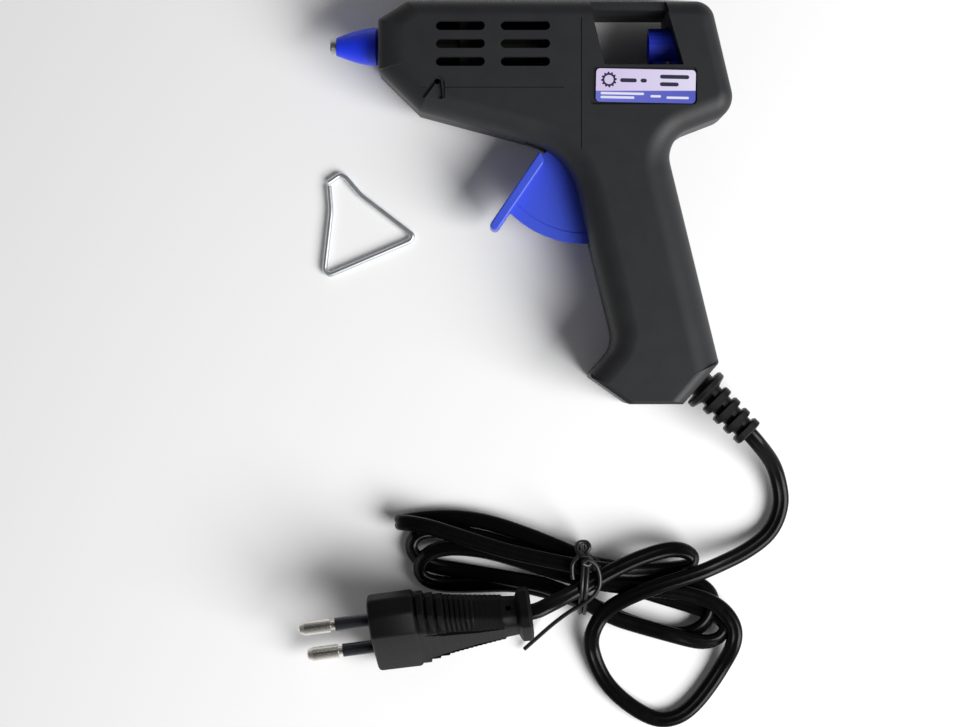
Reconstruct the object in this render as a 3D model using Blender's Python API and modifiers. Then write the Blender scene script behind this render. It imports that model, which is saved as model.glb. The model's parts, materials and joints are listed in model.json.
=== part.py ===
"""Trigger glue gun: two housing halves, heated barrel, trigger-driven feed, corded plug and wire stand.

The gun lies on its right side. X runs from nozzle (-) to stick inlet (+), Y from handle base (-) to
top (+), Z from the right housing (0) to the left housing. Plan figures are millimetres for a gun
113.5 mm long, turned into metres by LENGTH; heights are millimetres from the parting plane.
"""

import math

import bmesh
import bpy
from mathutils import Matrix, Vector

# Driving dimensions, metres
LENGTH = 0.1135
WIDTH = 0.028
WALL = 0.002
GAP = 0.0003
STICK_DIAMETER = 0.0072
SCREW_DIAMETER = 0.0026
TRIGGER_THICKNESS = 0.003
WIRE_DIAMETER = 0.0018
CORD_DIAMETER = 0.0042
STAND_WIRE_DIAMETER = 0.0015

# Millimetre forms of the same sizes, at the plan's own scale
SCALE = LENGTH / 113.5
SHIFT_X = 2.25
SHIFT_Y = 0.55
HALF = WIDTH / SCALE / 2
WALL_MM = WALL / SCALE
GAP_MM = GAP / SCALE
STICK_R = STICK_DIAMETER / SCALE / 2
SCREW_R = SCREW_DIAMETER / SCALE / 2
TRIGGER_HALF = TRIGGER_THICKNESS / SCALE / 2
WIRE_R = WIRE_DIAMETER / SCALE / 2
CORD_R = CORD_DIAMETER / SCALE / 2
STAND_R = STAND_WIRE_DIAMETER / SCALE / 2
SEGMENTS = 24
MERGE = 1e-6

# Plan figures, which hold at the parting plane; their lines meet at SIGHT
SIGHT = (-13.4, -45.7, 654.0)
AXIS_Y = 44.5
NOSE_X = -43.2
PIVOT = (15.4, 18.95)
LINK_PIN = (24.0, 31.5)
LINK_PIN_R = 1.5
FAN_R = 30.6
PIVOT_PIN_R = 1.5
SCREW_PLACES = [(-35.4, 33.4), (10.2, 52.6), (51.0, 27.4), (38.0, -8.0), (26.4, -49.4)]
BOSS_R = 3.0
VENT_ROWS = [48.6, 43.6, 38.6]
VENT_COLUMNS = [(-27.0, -13.3), (-8.9, 4.9)]
VENT_HALF = 1.3
GLAND = (48.5, -51.9)
GLAND_WAY = (0.70, -0.714)
CLAMP_AT = -13.6
CLAMP_HALF = 5.45
SHELL_ROUND = 4.0
WINDOW_WALL = 1.2

# Corners of the side view, clockwise from the nose, each with its radius
CORNERS = [
    (-43.2, 51.0, 1.2), (-35.3, 56.0, 2.5), (50.0, 56.0, 5.6), (57.3, 25.1, 6.6), (37.3, 17.4, 8.0),
    (52.6, -45.2, 1.6), (42.3, -57.1, 0.9), (26.9, -57.1, 1.6), (15.7, -49.2, 1.1), (23.4, -40.5, 8.0),
    (10.1, 14.0, 19.5), (-31.7, 25.2, 1.2), (-43.2, 36.5, 1.0),
]
WINDOW = [(16.4, 53.2), (37.7, 53.2), (42.2, 37.7), (20.1, 37.7)]
# Routes and outlines below the parting plane, as plan points
CORD_ROUTE = [
    (62.4, -66.0, 0.0), (64.8, -68.8, -1.6), (68.4, -73.7, -6.6), (70.3, -78.9, -9.8),
    (71.1, -85.8, -11.4), (68.2, -93.4, -11.8), (62.6, -98.4, -11.8),
]
LOOP_ROUTE = [
    (16.4, -126.2, -11.8), (19.8, -134.2, -11.8), (23.8, -139.5, -11.8), (29.7, -144.2, -11.8),
    (35.9, -147.3, -11.8), (41.6, -146.6, -11.8), (46.4, -143.0, -11.8), (51.4, -136.4, -11.8),
    (55.4, -130.8, -11.8),
]
TAIL_ROUTE = [(2.2, -115.9, 15.7), (4.4, -114.6, 15.2), (7.4, -112.8, 14.0), (11.2, -110.6, 13.0)]
HANK = [
    (-40.2, -91.4), (-39.4, -87.2), (-35.0, -85.4), (-18.0, -86.6), (4.0, -91.0), (15.0, -96.6),
    (30.0, -96.6), (46.0, -97.6), (52.0, -99.6), (60.4, -102.4), (61.0, -112.0), (61.0, -121.0),
    (58.4, -127.2), (50.0, -129.4), (37.0, -127.4), (26.0, -124.0), (13.6, -122.6), (7.6, -119.0),
    (4.2, -112.0), (1.0, -108.4), (-30.0, -110.0), (-37.4, -107.0), (-39.4, -99.4),
]
STAND_ROUTE = [
    (-57.8, 5.9), (-54.6, 8.1), (-53.0, 7.4), (-48.7, 2.3), (-33.8, -9.1), (-34.4, -10.7),
    (-57.6, -20.5), (-59.0, -19.0), (-57.1, -2.3), (-57.7, 4.8),
]
PLUG_BASE = (-45.2, -122.4)
PLUG_HEIGHT = 15.7
PLUG_WAY = (0.992, 0.126, 0.0)
PLUG_ROLL_DEG = 60.0
PLUG_SECTIONS = [
    (0.0, 15.6, 6.2), (1.2, 16.6, 6.9), (10.5, 16.9, 6.9), (14.0, 14.2, 6.6), (16.0, 12.0, 6.3),
    (26.0, 8.6, 5.6), (36.0, 6.2, 5.0), (41.6, 5.6, 4.8), (42.2, 7.0, 6.2), (45.6, 7.4, 6.4),
]

COLLECTION = "glue_gun"
CUTTERS = "glue_gun_cutters"


def clear_scene():
    """Remove the startup objects."""
    for obj in list(bpy.data.objects):
        bpy.data.objects.remove(obj, do_unlink=True)


def collection(name):
    """The named collection, made once."""
    found = bpy.data.collections.get(name)
    if found is None:
        found = bpy.data.collections.new(name)
        bpy.context.scene.collection.children.link(found)
    return found


def material(name, colour, rough=0.5, metal=0.0):
    """A Principled material, made once."""
    found = bpy.data.materials.get(name)
    if found is None:
        found = bpy.data.materials.new(name)
        found.use_nodes = True
        shader = found.node_tree.nodes["Principled BSDF"]
        shader.inputs["Base Color"].default_value = (*colour, 1.0)
        shader.inputs["Roughness"].default_value = rough
        shader.inputs["Metallic"].default_value = metal
        found.diffuse_color = (*colour, 1.0)
    return found


BLACK = ("housing_black", (0.020, 0.021, 0.023), 0.5)
BLUE = ("trigger_blue", (0.02, 0.04, 0.50), 0.4)
NOZZLE_BLUE = ("nozzle_blue", (0.005, 0.015, 0.80), 0.45)
ALUMINIUM = ("cast_aluminium", (0.75, 0.76, 0.78), 0.35, 1.0)
STEEL = ("plated_steel", (0.62, 0.63, 0.65), 0.3, 1.0)
CERAMIC = ("heater_ceramic", (0.55, 0.52, 0.47), 0.7)
SILICONE = ("inlet_silicone", (0.30, 0.29, 0.28), 0.6)
BROWN = ("live_insulation", (0.30, 0.12, 0.05), 0.5)
SKY = ("neutral_insulation", (0.05, 0.16, 0.45), 0.5)
CORD_BLACK = ("cord_black", (0.006, 0.006, 0.007), 0.25)
LABEL = ("label_film", (0.66, 0.60, 0.85), 0.4)
NICKEL = ("pin_nickel", (0.72, 0.70, 0.66), 0.2, 1.0)


def world(x, y, up):
    """Metres for a plan point and a height from the parting plane, in millimetres."""
    return Vector(((x + SHIFT_X) * SCALE, (y + SHIFT_Y) * SCALE, (up + HALF) * SCALE))


def laid(x, y, up):
    """A plan point carried along its line from SIGHT to the height it lies at."""
    spread = (SIGHT[2] - up) / SIGHT[2]
    return (SIGHT[0] + (x - SIGHT[0]) * spread, SIGHT[1] + (y - SIGHT[1]) * spread, up)


def resting(x, y, up):
    """A cord point, never so low that the cord sinks into the surface."""
    return laid(x, y, max(up, CORD_R + 0.1 - HALF))


def keep(bm, name, look, cutter=False, at=None, turn=None):
    """Turn a bmesh into a named, placed object with its faces outward."""
    bmesh.ops.remove_doubles(bm, verts=bm.verts, dist=MERGE)
    bmesh.ops.recalc_face_normals(bm, faces=bm.faces)
    mesh = bpy.data.meshes.new(name)
    bm.to_mesh(mesh)
    bm.free()
    obj = bpy.data.objects.new(name, mesh)
    if at is not None:
        obj.location = at
    if turn is not None:
        obj.rotation_euler = turn.to_euler()
    if cutter:
        obj.hide_render = True
        obj.display_type = "WIRE"
        collection(CUTTERS).objects.link(obj)
    else:
        mesh.materials.append(material(*look))
        collection(COLLECTION).objects.link(obj)
    return obj


def solidified(guide, name, look, cutter=False, at=None, turn=None):
    """Bake a guide curve or modified outline into one welded mesh and drop the guide."""
    bpy.context.scene.collection.objects.link(guide)
    bpy.context.view_layer.update()
    graph = bpy.context.evaluated_depsgraph_get()
    made = bpy.data.meshes.new_from_object(guide.evaluated_get(graph))
    bm = bmesh.new()
    bm.from_mesh(made)
    bpy.data.objects.remove(guide, do_unlink=True)
    bpy.data.meshes.remove(made)
    return keep(bm, name, look, cutter, at, turn)


def loft(bm, loops):
    """Skin unlike sections of equal count and cap both ends."""
    rows = [[bm.verts.new(point) for point in loop] for loop in loops]
    count = len(rows[0])
    for low, high in zip(rows, rows[1:]):
        for n in range(count):
            bm.faces.new((low[n], low[(n + 1) % count], high[(n + 1) % count], high[n]))
    bm.faces.new(rows[0])
    bm.faces.new(list(reversed(rows[-1])))


def filleted(corners):
    """The outline through (x, y, radius) corners, clockwise, each turned on its own radius."""
    points = []
    for n, (x, y, radius) in enumerate(corners):
        here = Vector((x, y))
        before = (here - Vector(corners[n - 1][:2])).normalized()
        after = (Vector(corners[(n + 1) % len(corners)][:2]) - here).normalized()
        turn = math.atan2(before.x * after.y - before.y * after.x, before.dot(after))
        start = here - before * (radius * math.tan(abs(turn) / 2))
        centre = start + Vector((before.y, -before.x)) * (radius if turn < 0 else -radius)
        steps = max(2, round(abs(turn) * math.sqrt(radius) * 2.2))
        for k in range(steps + 1):
            point = centre + Matrix.Rotation(turn * k / steps, 2) @ (start - centre)
            points.append(tuple(point))
    return points


def meet(first, second):
    """Where two offset edges meet: each is (start, direction, inward normal times distance)."""
    (p, d, m), (q, e, k) = first, second
    cross = d.x * e.y - d.y * e.x
    if abs(cross) < 0.05:
        return (p + m + q + k) / 2 if (q - p).length < 1e-9 else q + (m + k) / 2
    gap = (q + k) - (p + m)
    return p + m + d * ((gap.x * e.y - gap.y * e.x) / cross)


def inset(points, by):
    """The clockwise outline moved inward, losing the edges that shrink away."""
    count = len(points)
    edges = []
    for n in range(count):
        here, after = Vector(points[n]), Vector(points[(n + 1) % count])
        way = (after - here).normalized()
        edges.append((here, way, Vector((way.y, -way.x)) * by))
    alive = list(range(count))
    while True:
        spots = {n: meet(edges[alive[k - 1]], edges[n]) for k, n in enumerate(alive)}
        worst, least = None, 0.0
        for k, n in enumerate(alive):
            run = (spots[alive[(k + 1) % len(alive)]] - spots[n]).dot(edges[n][1])
            if run < least:
                worst, least = n, run
        if worst is None:
            break
        alive.remove(worst)
    moved = []
    for n in range(count):
        owner = next((m for m in alive if m >= n), alive[0])
        moved.append(tuple(spots[owner]))
    return moved


def prism(name, points, low, high, look=BLACK, cutter=False):
    """A flat outline, filled and extruded between two heights."""
    data = bpy.data.curves.new(name, "CURVE")
    data.dimensions = "2D"
    data.fill_mode = "BOTH"
    data.extrude = (high - low) * SCALE / 2
    mid_x = sum(x for x, _ in points) / len(points)
    mid_y = sum(y for _, y in points) / len(points)
    line = data.splines.new("POLY")
    line.points.add(len(points) - 1)
    for spot, (x, y) in zip(line.points, points):
        spot.co = ((x - mid_x) * SCALE, (y - mid_y) * SCALE, 0.0, 1.0)
    line.use_cyclic_u = True
    guide = bpy.data.objects.new(name + "_guide", data)
    return solidified(guide, name, look, cutter, world(mid_x, mid_y, (low + high) / 2))


def box(name, xs, ys, ups, look=BLACK, cutter=False):
    """A block between two corners, placed by its middle."""
    low, high = world(xs[0], ys[0], ups[0]), world(xs[1], ys[1], ups[1])
    bm = bmesh.new()
    bmesh.ops.create_cube(bm, size=1.0, matrix=Matrix.Diagonal((*(high - low), 1.0)))
    return keep(bm, name, look, cutter, (low + high) / 2)


def stadium(centre, half_length, radius, tilt_deg=0.0, steps=8):
    """A clockwise slot outline with round ends."""
    turn = Matrix.Rotation(math.radians(tilt_deg), 2)
    points = []
    for side in (1, -1):
        for n in range(steps + 1):
            angle = math.radians(90 - 180 * n / steps) if side == 1 else math.radians(-90 - 180 * n / steps)
            local = Vector((side * half_length + radius * math.cos(angle), radius * math.sin(angle)))
            points.append(tuple(Vector(centre) + turn @ local))
    return points


def rod(name, start, end, radius, look=STEEL, cutter=False, segments=SEGMENTS):
    """A cylinder between two (x, y, up) points."""
    a, b = world(*start), world(*end)
    way = b - a
    bm = bmesh.new()
    bmesh.ops.create_cone(bm, cap_ends=True, segments=segments, radius1=radius * SCALE,
                          radius2=radius * SCALE, depth=way.length)
    return keep(bm, name, look, cutter, (a + b) / 2, way.to_track_quat("Z", "Y"))


def turned(name, profile, look, start, way, segments=SEGMENTS):
    """A turned piece: (distance along, radius) pairs on a Screw modifier, laid from start along way."""
    closed = profile[0] == profile[-1]
    points = profile[:-1] if closed else profile
    mesh = bpy.data.meshes.new(name + "_profile")
    edges = [(n, n + 1) for n in range(len(points) - 1)]
    if closed:
        edges.append((len(points) - 1, 0))
    mesh.from_pydata([(radius * SCALE, 0.0, along * SCALE) for along, radius in points], edges, [])
    guide = bpy.data.objects.new(name + "_guide", mesh)
    screw = guide.modifiers.new("turn", "SCREW")
    screw.steps = segments
    screw.render_steps = segments
    screw.use_merge_vertices = True
    screw.merge_threshold = MERGE
    turn = Vector(way).to_track_quat("Z", "Y")
    return solidified(guide, name, look, at=world(*start), turn=turn)


def tube(name, route, radius, look, smooth=4, resolution=2):
    """A wire or cord: a bevelled curve through route points, with filled caps."""
    points = smoothed(route, smooth)
    middle = sum((world(*p) for p in points), Vector()) / len(points)
    data = bpy.data.curves.new(name, "CURVE")
    data.dimensions = "3D"
    data.bevel_depth = radius * SCALE
    data.bevel_resolution = resolution
    data.use_fill_caps = True
    data.twist_mode = "MINIMUM"
    line = data.splines.new("POLY")
    line.points.add(len(points) - 1)
    for spot, point in zip(line.points, points):
        spot.co = (*(world(*point) - middle), 1.0)
    guide = bpy.data.objects.new(name + "_guide", data)
    return solidified(guide, name, look, at=middle)


def smoothed(route, steps):
    """Catmull-Rom points between the route's own, evenly counted."""
    if steps <= 1:
        return [tuple(p) for p in route]
    found = []
    last = len(route) - 1
    for n in range(last):
        p0, p1, p2, p3 = (Vector(route[min(max(n + k, 0), last)]) for k in (-1, 0, 1, 2))
        for step in range(steps):
            t = step / steps
            bend = 2 * p0 - 5 * p1 + 4 * p2 - p3
            swing = 3 * p1 - p0 - 3 * p2 + p3
            found.append(tuple(0.5 * (2 * p1 + (p2 - p0) * t + bend * t * t + swing * t ** 3)))
    found.append(tuple(route[-1]))
    return found


def combine(target, other, operation="DIFFERENCE"):
    """Apply one exact Boolean to the target's mesh."""
    modifier = target.modifiers.new(operation.lower(), "BOOLEAN")
    modifier.operation = operation
    modifier.solver = "EXACT"
    modifier.object = other
    bpy.context.view_layer.update()
    graph = bpy.context.evaluated_depsgraph_get()
    made = bpy.data.meshes.new_from_object(target.evaluated_get(graph))
    target.modifiers.clear()
    old = target.data
    target.data = made
    bpy.data.meshes.remove(old)
    return target


def cut_all(target, cutters):
    """Cut the target with each cutter in turn."""
    for cutter in cutters:
        combine(target, cutter)


def join_all(target, extras):
    """Join each extra solid to the target."""
    for extra in extras:
        combine(target, extra, "UNION")
        bpy.data.objects.remove(extra, do_unlink=True)


def half_shell(name, outline, round_by, near, far, steps=6):
    """One half before it is hollowed: parting face, side wall, rounded edge and outer face."""
    middle = world(10.0, 10.0, 0.0)
    loops = [[world(x, y, near) for x, y in outline]] + rounded_edge(outline, round_by, far, steps)
    bm = bmesh.new()
    loft(bm, [[point - middle for point in loop] for loop in loops])
    return keep(bm, name, BLACK, at=middle)


def rounded_edge(outline, round_by, far, steps, within=0.0):
    """Loops that turn from a side wall, within the outline, onto the face at height far."""
    sign = 1 if far > 0 else -1
    loops = []
    for n in range(steps + 1):
        angle = math.pi / 2 * n / steps
        inward = within + round_by * (1 - math.cos(angle))
        up = far - sign * round_by * (1 - math.sin(angle))
        loops.append([world(x, y, up) for x, y in inset(outline, inward)])
    return loops


def pillow(name, outline, round_by, reach, within, steps=6):
    """A slab about the parting plane with both edges rounded, as a cutter."""
    low = rounded_edge(outline, round_by, -reach, steps, within)
    bm = bmesh.new()
    loft(bm, list(reversed(low)) + rounded_edge(outline, round_by, reach, steps, within))
    return keep(bm, name, BLACK, True)


def make_core(outline):
    """The hollow inside both halves, less the walls, bosses and ribs that stand in it."""
    reach = HALF - WALL_MM
    core = pillow("core", outline, SHELL_ROUND - WALL_MM - 0.4, reach, WALL_MM)
    solids = [prism("window_walls", inset(WINDOW, -WINDOW_WALL), -HALF, HALF, cutter=True)]
    for n, (x, y) in enumerate(SCREW_PLACES):
        solids.append(rod(f"boss_{n}", (x, y, -HALF), (x, y, HALF), BOSS_R, cutter=True))
    hub = TRIGGER_HALF + 1.0
    for side in (-1, 1):
        solids.append(rod(f"pivot_boss_{side}", (*PIVOT, side * (hub + GAP_MM)),
                          (*PIVOT, side * HALF), 3.4, cutter=True))
        x, y = clamp_screws()[(side + 1) // 2]
        solids.append(rod(f"clamp_boss_{side}", (x, y, -HALF), (x, y, -1.9), 2.2, cutter=True))
        solids.append(box(f"barrel_rib_{side}", (-30.0, -28.6), (35.6, 55.2),
                          sorted((side * 6.9, side * HALF)), cutter=True))
    solids.append(box("spring_rib", (-4.2, -2.4), (28.4, 36.6), (-HALF, HALF), cutter=True))
    for solid in solids:
        combine(core, solid)
    return core


def clamp_screws():
    """Where the two clamp screws stand, either side of the cord."""
    x, y, _ = along_gland(CLAMP_AT)
    dx, dy = -GLAND_WAY[1] * CLAMP_HALF, GLAND_WAY[0] * CLAMP_HALF
    return [(x - dx, y - dy), (x + dx, y + dy)]


def housing_cutters():
    """Everything that passes through both halves."""
    found = [prism("window_cut", WINDOW, -HALF - 1, HALF + 1, cutter=True)]
    for n, (x0, x1) in enumerate(VENT_COLUMNS):
        for m, y in enumerate(VENT_ROWS):
            shape = stadium(((x0 + x1) / 2, y), (x1 - x0) / 2 - VENT_HALF, VENT_HALF)
            found.append(prism(f"vent_{n}_{m}", shape, -HALF - 1, HALF + 1, cutter=True))
    found.append(rod("nose_bore", (NOSE_X - 2, AXIS_Y, 0), (-38.0, AXIS_Y, 0), 5.0, cutter=True))
    found.append(rod("front_wall_bore", (11.0, AXIS_Y, 0), (24.0, AXIS_Y, 0), 5.3, cutter=True))
    found.append(rod("rear_wall_bore", (36.0, AXIS_Y, 0), (48.0, AXIS_Y, 0),
                     STICK_R + 2.15, cutter=True))
    found.append(rod("inlet_bore", (48.0, AXIS_Y, 0), (60.0, AXIS_Y, 0),
                     STICK_R + 1.6, cutter=True))
    found.append(box("carriage_slot", (28.4, 44.4), (35.0, 40.5), (-3.2, 3.2), cutter=True))
    found.append(rod("guide_bore", (-6.0, 32.0, 0), (-1.0, 32.0, 0), 1.3, cutter=True))
    found.append(trigger_slot())
    x, y = GLAND
    back = (x - 6 * GLAND_WAY[0], y - 6 * GLAND_WAY[1], 0)
    out = (x + 6 * GLAND_WAY[0], y + 6 * GLAND_WAY[1], 0)
    found.append(rod("gland_bore", back, out, 4.3, cutter=True))
    for side in (-1, 1):
        ups = sorted((side * (HALF - 3.0), side * (HALF + 1)))
        found.append(box(f"strip_cut_{side}", (16.9, 37.2), (52.4, 58.4), ups, cutter=True))
        found.append(nose_wedge(side))
    return found


def nose_wedge(side):
    """The slice that narrows the nose toward the nozzle."""
    corners = [(-35.5, HALF), (NOSE_X - 1.0, HALF - 3.2), (NOSE_X - 1.0, HALF + 2), (-35.5, HALF + 2)]
    bm = bmesh.new()
    loft(bm, [[world(x, y, side * up) for x, up in corners] for y in (20.0, 60.0)])
    return keep(bm, f"nose_wedge_{side}", BLACK, True)


def trigger_slot():
    """The fan's way through the housing wall, from just ahead of the finger plate."""
    reach = FAN_R + 0.9
    points = []
    for degrees in range(-50, -141, -5):
        angle = math.radians(degrees)
        points.append((PIVOT[0] + reach * math.cos(angle), PIVOT[1] + reach * math.sin(angle)))
    points += [(-1.8, 8.0), (-1.8, 18.6), PIVOT]
    half = TRIGGER_HALF + 0.4
    return prism("trigger_slot", points, -half, half, cutter=True)


def make_housings(outline, core):
    """Both halves: hollowed, then cut for everything that passes through them."""
    shared = housing_cutters()
    left = half_shell("housing_left", outline, SHELL_ROUND, GAP_MM / 2, HALF)
    right = half_shell("housing_right", outline, SHELL_ROUND, -GAP_MM / 2, -HALF)
    pocket = HALF - 0.7
    left_cuts = [box("label_pocket", (16.0, 45.9), (26.6, 37.0), (pocket, HALF + 1), cutter=True)]
    left_cuts += stand_socket(1)
    right_cuts = stand_socket(-1)
    pin_reach = HALF - WALL_MM * 0.6
    for n, (x, y) in enumerate(SCREW_PLACES):
        left_cuts.append(rod(f"pilot_{n}", (x, y, -1), (x, y, 7.2), SCREW_R + GAP_MM, cutter=True))
        right_cuts.append(rod(f"screw_way_{n}", (x, y, 1), (x, y, -HALF - 1),
                              SCREW_R + GAP_MM, cutter=True))
        right_cuts.append(rod(f"counterbore_{n}", (x, y, -HALF + 4.2), (x, y, -HALF - 1),
                              SCREW_R * 2 + GAP_MM, cutter=True))
    for n, (x, y) in enumerate(clamp_screws()):
        right_cuts.append(rod(f"clamp_pilot_{n}", (x, y, 0), (x, y, -7.2), 1.3, cutter=True))
    for body, cuts, side in ((left, left_cuts, 1), (right, right_cuts, -1)):
        cut_all(body, [core] + shared + cuts)
        combine(body, rod(f"pivot_way_{side}", (*PIVOT, 0), (*PIVOT, side * pin_reach),
                          PIVOT_PIN_R + GAP_MM / 2, cutter=True))
    return left, right


def stand_socket(side):
    """The keyhole grooves that take the wire stand's ends."""
    deep = sorted((side * (HALF - 1.0), side * (HALF + 1)))
    slanted = stadium((-28.8, 31.2), 2.7, 0.75, 53.0)
    upright = stadium((-25.9, 30.9), 2.2, 0.75, 97.0)
    through = sorted((side * (HALF - WALL_MM - 1), side * (HALF + 1)))
    return [
        prism(f"socket_slant_{side}", slanted, *deep, cutter=True),
        prism(f"socket_upright_{side}", upright, *deep, cutter=True),
        rod(f"socket_hole_{side}", (-26.7, 33.1, through[0]), (-26.7, 33.1, through[1]), 0.9,
            cutter=True),
    ]


def make_screws():
    """Five self-tapping screws from the right side, each with a cross recess."""
    for n, (x, y) in enumerate(SCREW_PLACES):
        seat = -HALF + 4.2 - GAP_MM
        head = seat - 2.0
        profile = [(head, 0.0), (head, SCREW_R * 1.9), (seat, SCREW_R * 1.9), (seat, SCREW_R),
                   (6.4, SCREW_R), (6.9, SCREW_R * 0.5), (6.9, 0.0)]
        screw = turned(f"housing_screw_{n + 1}", profile, STEEL, (x, y, 0), (0, 0, 1), 24)
        slot = stadium((x, y), SCREW_R * 1.2, 0.35)
        combine(screw, prism(f"drive_{n}", slot, head - 1, head + 0.9, cutter=True))
        cross = stadium((x, y), SCREW_R * 1.2, 0.35, 90.0)
        combine(screw, prism(f"drive_cross_{n}", cross, head - 1, head + 0.9, cutter=True))


def make_nozzle():
    """Nozzle tip and sleeve, washer, melt chamber, inlet sleeve and its clamp."""
    sleeve = [(0.0, 2.35), (0.0, 2.55), (2.0, 3.05), (5.0, 3.9), (8.0, 4.7), (11.7, 5.4),
              (11.7, 4.55), (14.3, 4.55), (14.3, 2.35), (0.0, 2.35)]
    turned("nozzle_sleeve", sleeve, NOZZLE_BLUE, (-55.6, AXIS_Y, 0), (1, 0, 0))
    tip = [(0.0, 0.8), (0.0, 1.9), (0.5, 2.1), (1.5, 2.1), (1.5, 2.05), (16.4, 2.05), (16.4, 3.6),
           (17.2, 3.6), (17.2, 1.6), (14.0, 0.8), (0.0, 0.8)]
    turned("nozzle_tip", tip, ALUMINIUM, (-57.4, AXIS_Y, 0), (1, 0, 0))
    washer = [(0.0, 4.9), (0.0, 6.2), (1.2, 6.2), (1.2, 4.9), (0.0, 4.9)]
    turned("heat_washer", washer, SILICONE, (-39.4, AXIS_Y, 0), (1, 0, 0))
    bore = STICK_R + 0.2
    chamber = [(0.0, 1.7), (0.0, 4.6), (2.2, 4.6), (2.2, 6.3), (42.0, 6.3), (42.0, 4.7),
               (44.5, 4.7), (44.5, bore), (8.0, bore), (2.0, 1.7), (0.0, 1.7)]
    turned("melt_chamber", chamber, ALUMINIUM, (-39.9, AXIS_Y, 0), (1, 0, 0))
    sleeve = [(0.0, 4.7 + GAP_MM), (0.0, 6.2), (3.9, 6.2), (3.9, 4.8), (14.6, 4.8), (14.6, bore),
              (2.7, bore), (2.7, 4.7 + GAP_MM), (0.0, 4.7 + GAP_MM)]
    turned("inlet_sleeve", sleeve, SILICONE, (2.5, AXIS_Y, 0), (1, 0, 0))
    clamp = [(0.0, 6.5), (0.0, 7.0), (1.6, 7.0), (1.6, 6.5), (0.0, 6.5)]
    turned("inlet_clamp", clamp, STEEL, (2.9, AXIS_Y, 0), (1, 0, 0))


def make_heater():
    """Ceramic heater under the chamber and the clip that holds it there."""
    box("ptc_heater", (-26.0, -7.0), (33.4, 37.8), (-5.0, 5.0), CERAMIC)
    outer = [(-20.4, 51.4), (-12.6, 51.4), (-12.6, 32.6), (-20.4, 32.6)]
    clip = prism("heater_clip", outer, -7.3, 7.3, STEEL)
    combine(clip, rod("clip_round", (-21.0, AXIS_Y, 0), (-12.0, AXIS_Y, 0), 6.6, cutter=True))
    combine(clip, box("clip_hollow", (-21.0, -12.0), (33.1, 45.0), (-6.6, 6.6), cutter=True))
    combine(clip, box("clip_top", (-21.0, -12.0), (50.6, 53.0), (-2.5, 2.5), cutter=True))


def make_trigger():
    """Fan, finger plate, hub and the arm that drives the carriage, as one moulding."""
    rim = [(PIVOT[0] + FAN_R * math.cos(math.radians(a)), PIVOT[1] + FAN_R * math.sin(math.radians(a)))
           for a in range(-80, -137, -3)]
    web = [(PIVOT[0] + 3.0, PIVOT[1] - 2.0)] + rim + [(-9.6, -5.4), (2.6, 12.6), (13.0, 20.5)]
    half = TRIGGER_HALF
    body = prism("trigger", web, -half, half, BLUE)
    plate = [(1.6, 13.0), (2.6, 13.8), (3.3, 12.6), (2.8, 10.8), (-9.3, -7.6), (-10.3, -7.7),
             (-11.7, -6.7), (-11.7, -5.8)]
    arm = stadium(((PIVOT[0] + LINK_PIN[0]) / 2, (PIVOT[1] + LINK_PIN[1]) / 2), 7.6, 2.5,
                  math.degrees(math.atan2(LINK_PIN[1] - PIVOT[1], LINK_PIN[0] - PIVOT[0])))
    join_all(body, [
        prism("finger_plate", plate, -6.5, 6.5, BLUE),
        prism("arm", arm, -half, half, BLUE),
        rod("hub", (*PIVOT, -half - 1.0), (*PIVOT, half + 1.0), 4.6, BLUE),
    ])
    cut_all(body, [
        rod("hub_bore", (*PIVOT, -20), (*PIVOT, 20), PIVOT_PIN_R + GAP_MM, cutter=True),
        rod("eye_bore", (*LINK_PIN, -20), (*LINK_PIN, 20), LINK_PIN_R + GAP_MM, cutter=True),
    ])
    reach = HALF - WALL_MM * 0.6 - GAP_MM
    rod("trigger_pin", (*PIVOT, -reach), (*PIVOT, reach), PIVOT_PIN_R)
    rod("link_pin", (*LINK_PIN, -half - 3.4), (*LINK_PIN, half + 3.4), LINK_PIN_R)


def make_carriage():
    """Sleeve round the stick, a leg through the window floor and two slotted plates."""
    inner, outer = STICK_R + 0.25, STICK_R + 1.55
    profile = [(0.0, inner), (0.0, outer), (14.6, outer), (14.6, inner), (0.0, inner)]
    body = turned("feed_carriage", profile, BLUE, (33.2, AXIS_Y, 0), (1, 0, 0))
    near, far = TRIGGER_HALF + 0.5, TRIGGER_HALF + 3.2
    leg = box("leg", (34.4, 43.4), (27.6, AXIS_Y - inner - 0.6), (-2.8, 2.8), BLUE)
    floor = box("foot_bridge", (33.0, 45.4), (26.8, 36.0), (-far, far), BLUE)
    plates = [box("plate_a", (17.4, 34.0), (26.8, 36.0), (near, far), BLUE),
              box("plate_b", (17.4, 34.0), (26.8, 36.0), (-far, -near), BLUE),
              box("nose_bridge", (16.0, 18.4), (30.0, 34.6), (-far, far), BLUE)]
    join_all(body, [floor, leg] + plates)
    slot = stadium((LINK_PIN[0], LINK_PIN[1] + 1.12), 0.93, LINK_PIN_R + 0.35, 90.0)
    cut_all(body, [
        prism("link_slot", slot, -20, 20, cutter=True),
        box("jaw_pocket", (36.0, 41.2), (38.4, 42.4), (-1.9, 1.9), cutter=True),
        rod("jaw_bore", (38.6, 39.6, -6), (38.6, 39.6, 6), 0.8, cutter=True),
    ])
    jaw = prism("grip_jaw", [(36.3, 40.6), (37.0, 41.0), (37.4, 40.4), (38.1, 41.0), (38.5, 40.4),
                             (39.2, 41.0), (39.6, 40.4), (40.3, 41.0), (40.9, 40.6), (40.9, 38.7),
                             (36.3, 38.7)], -1.6, 1.6, STEEL)
    combine(jaw, rod("jaw_eye", (38.6, 39.6, -6), (38.6, 39.6, 6), 0.8, cutter=True))
    rod("jaw_pin", (38.6, 39.6, -2.7), (38.6, 39.6, 2.7), 0.5, segments=16)


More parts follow.
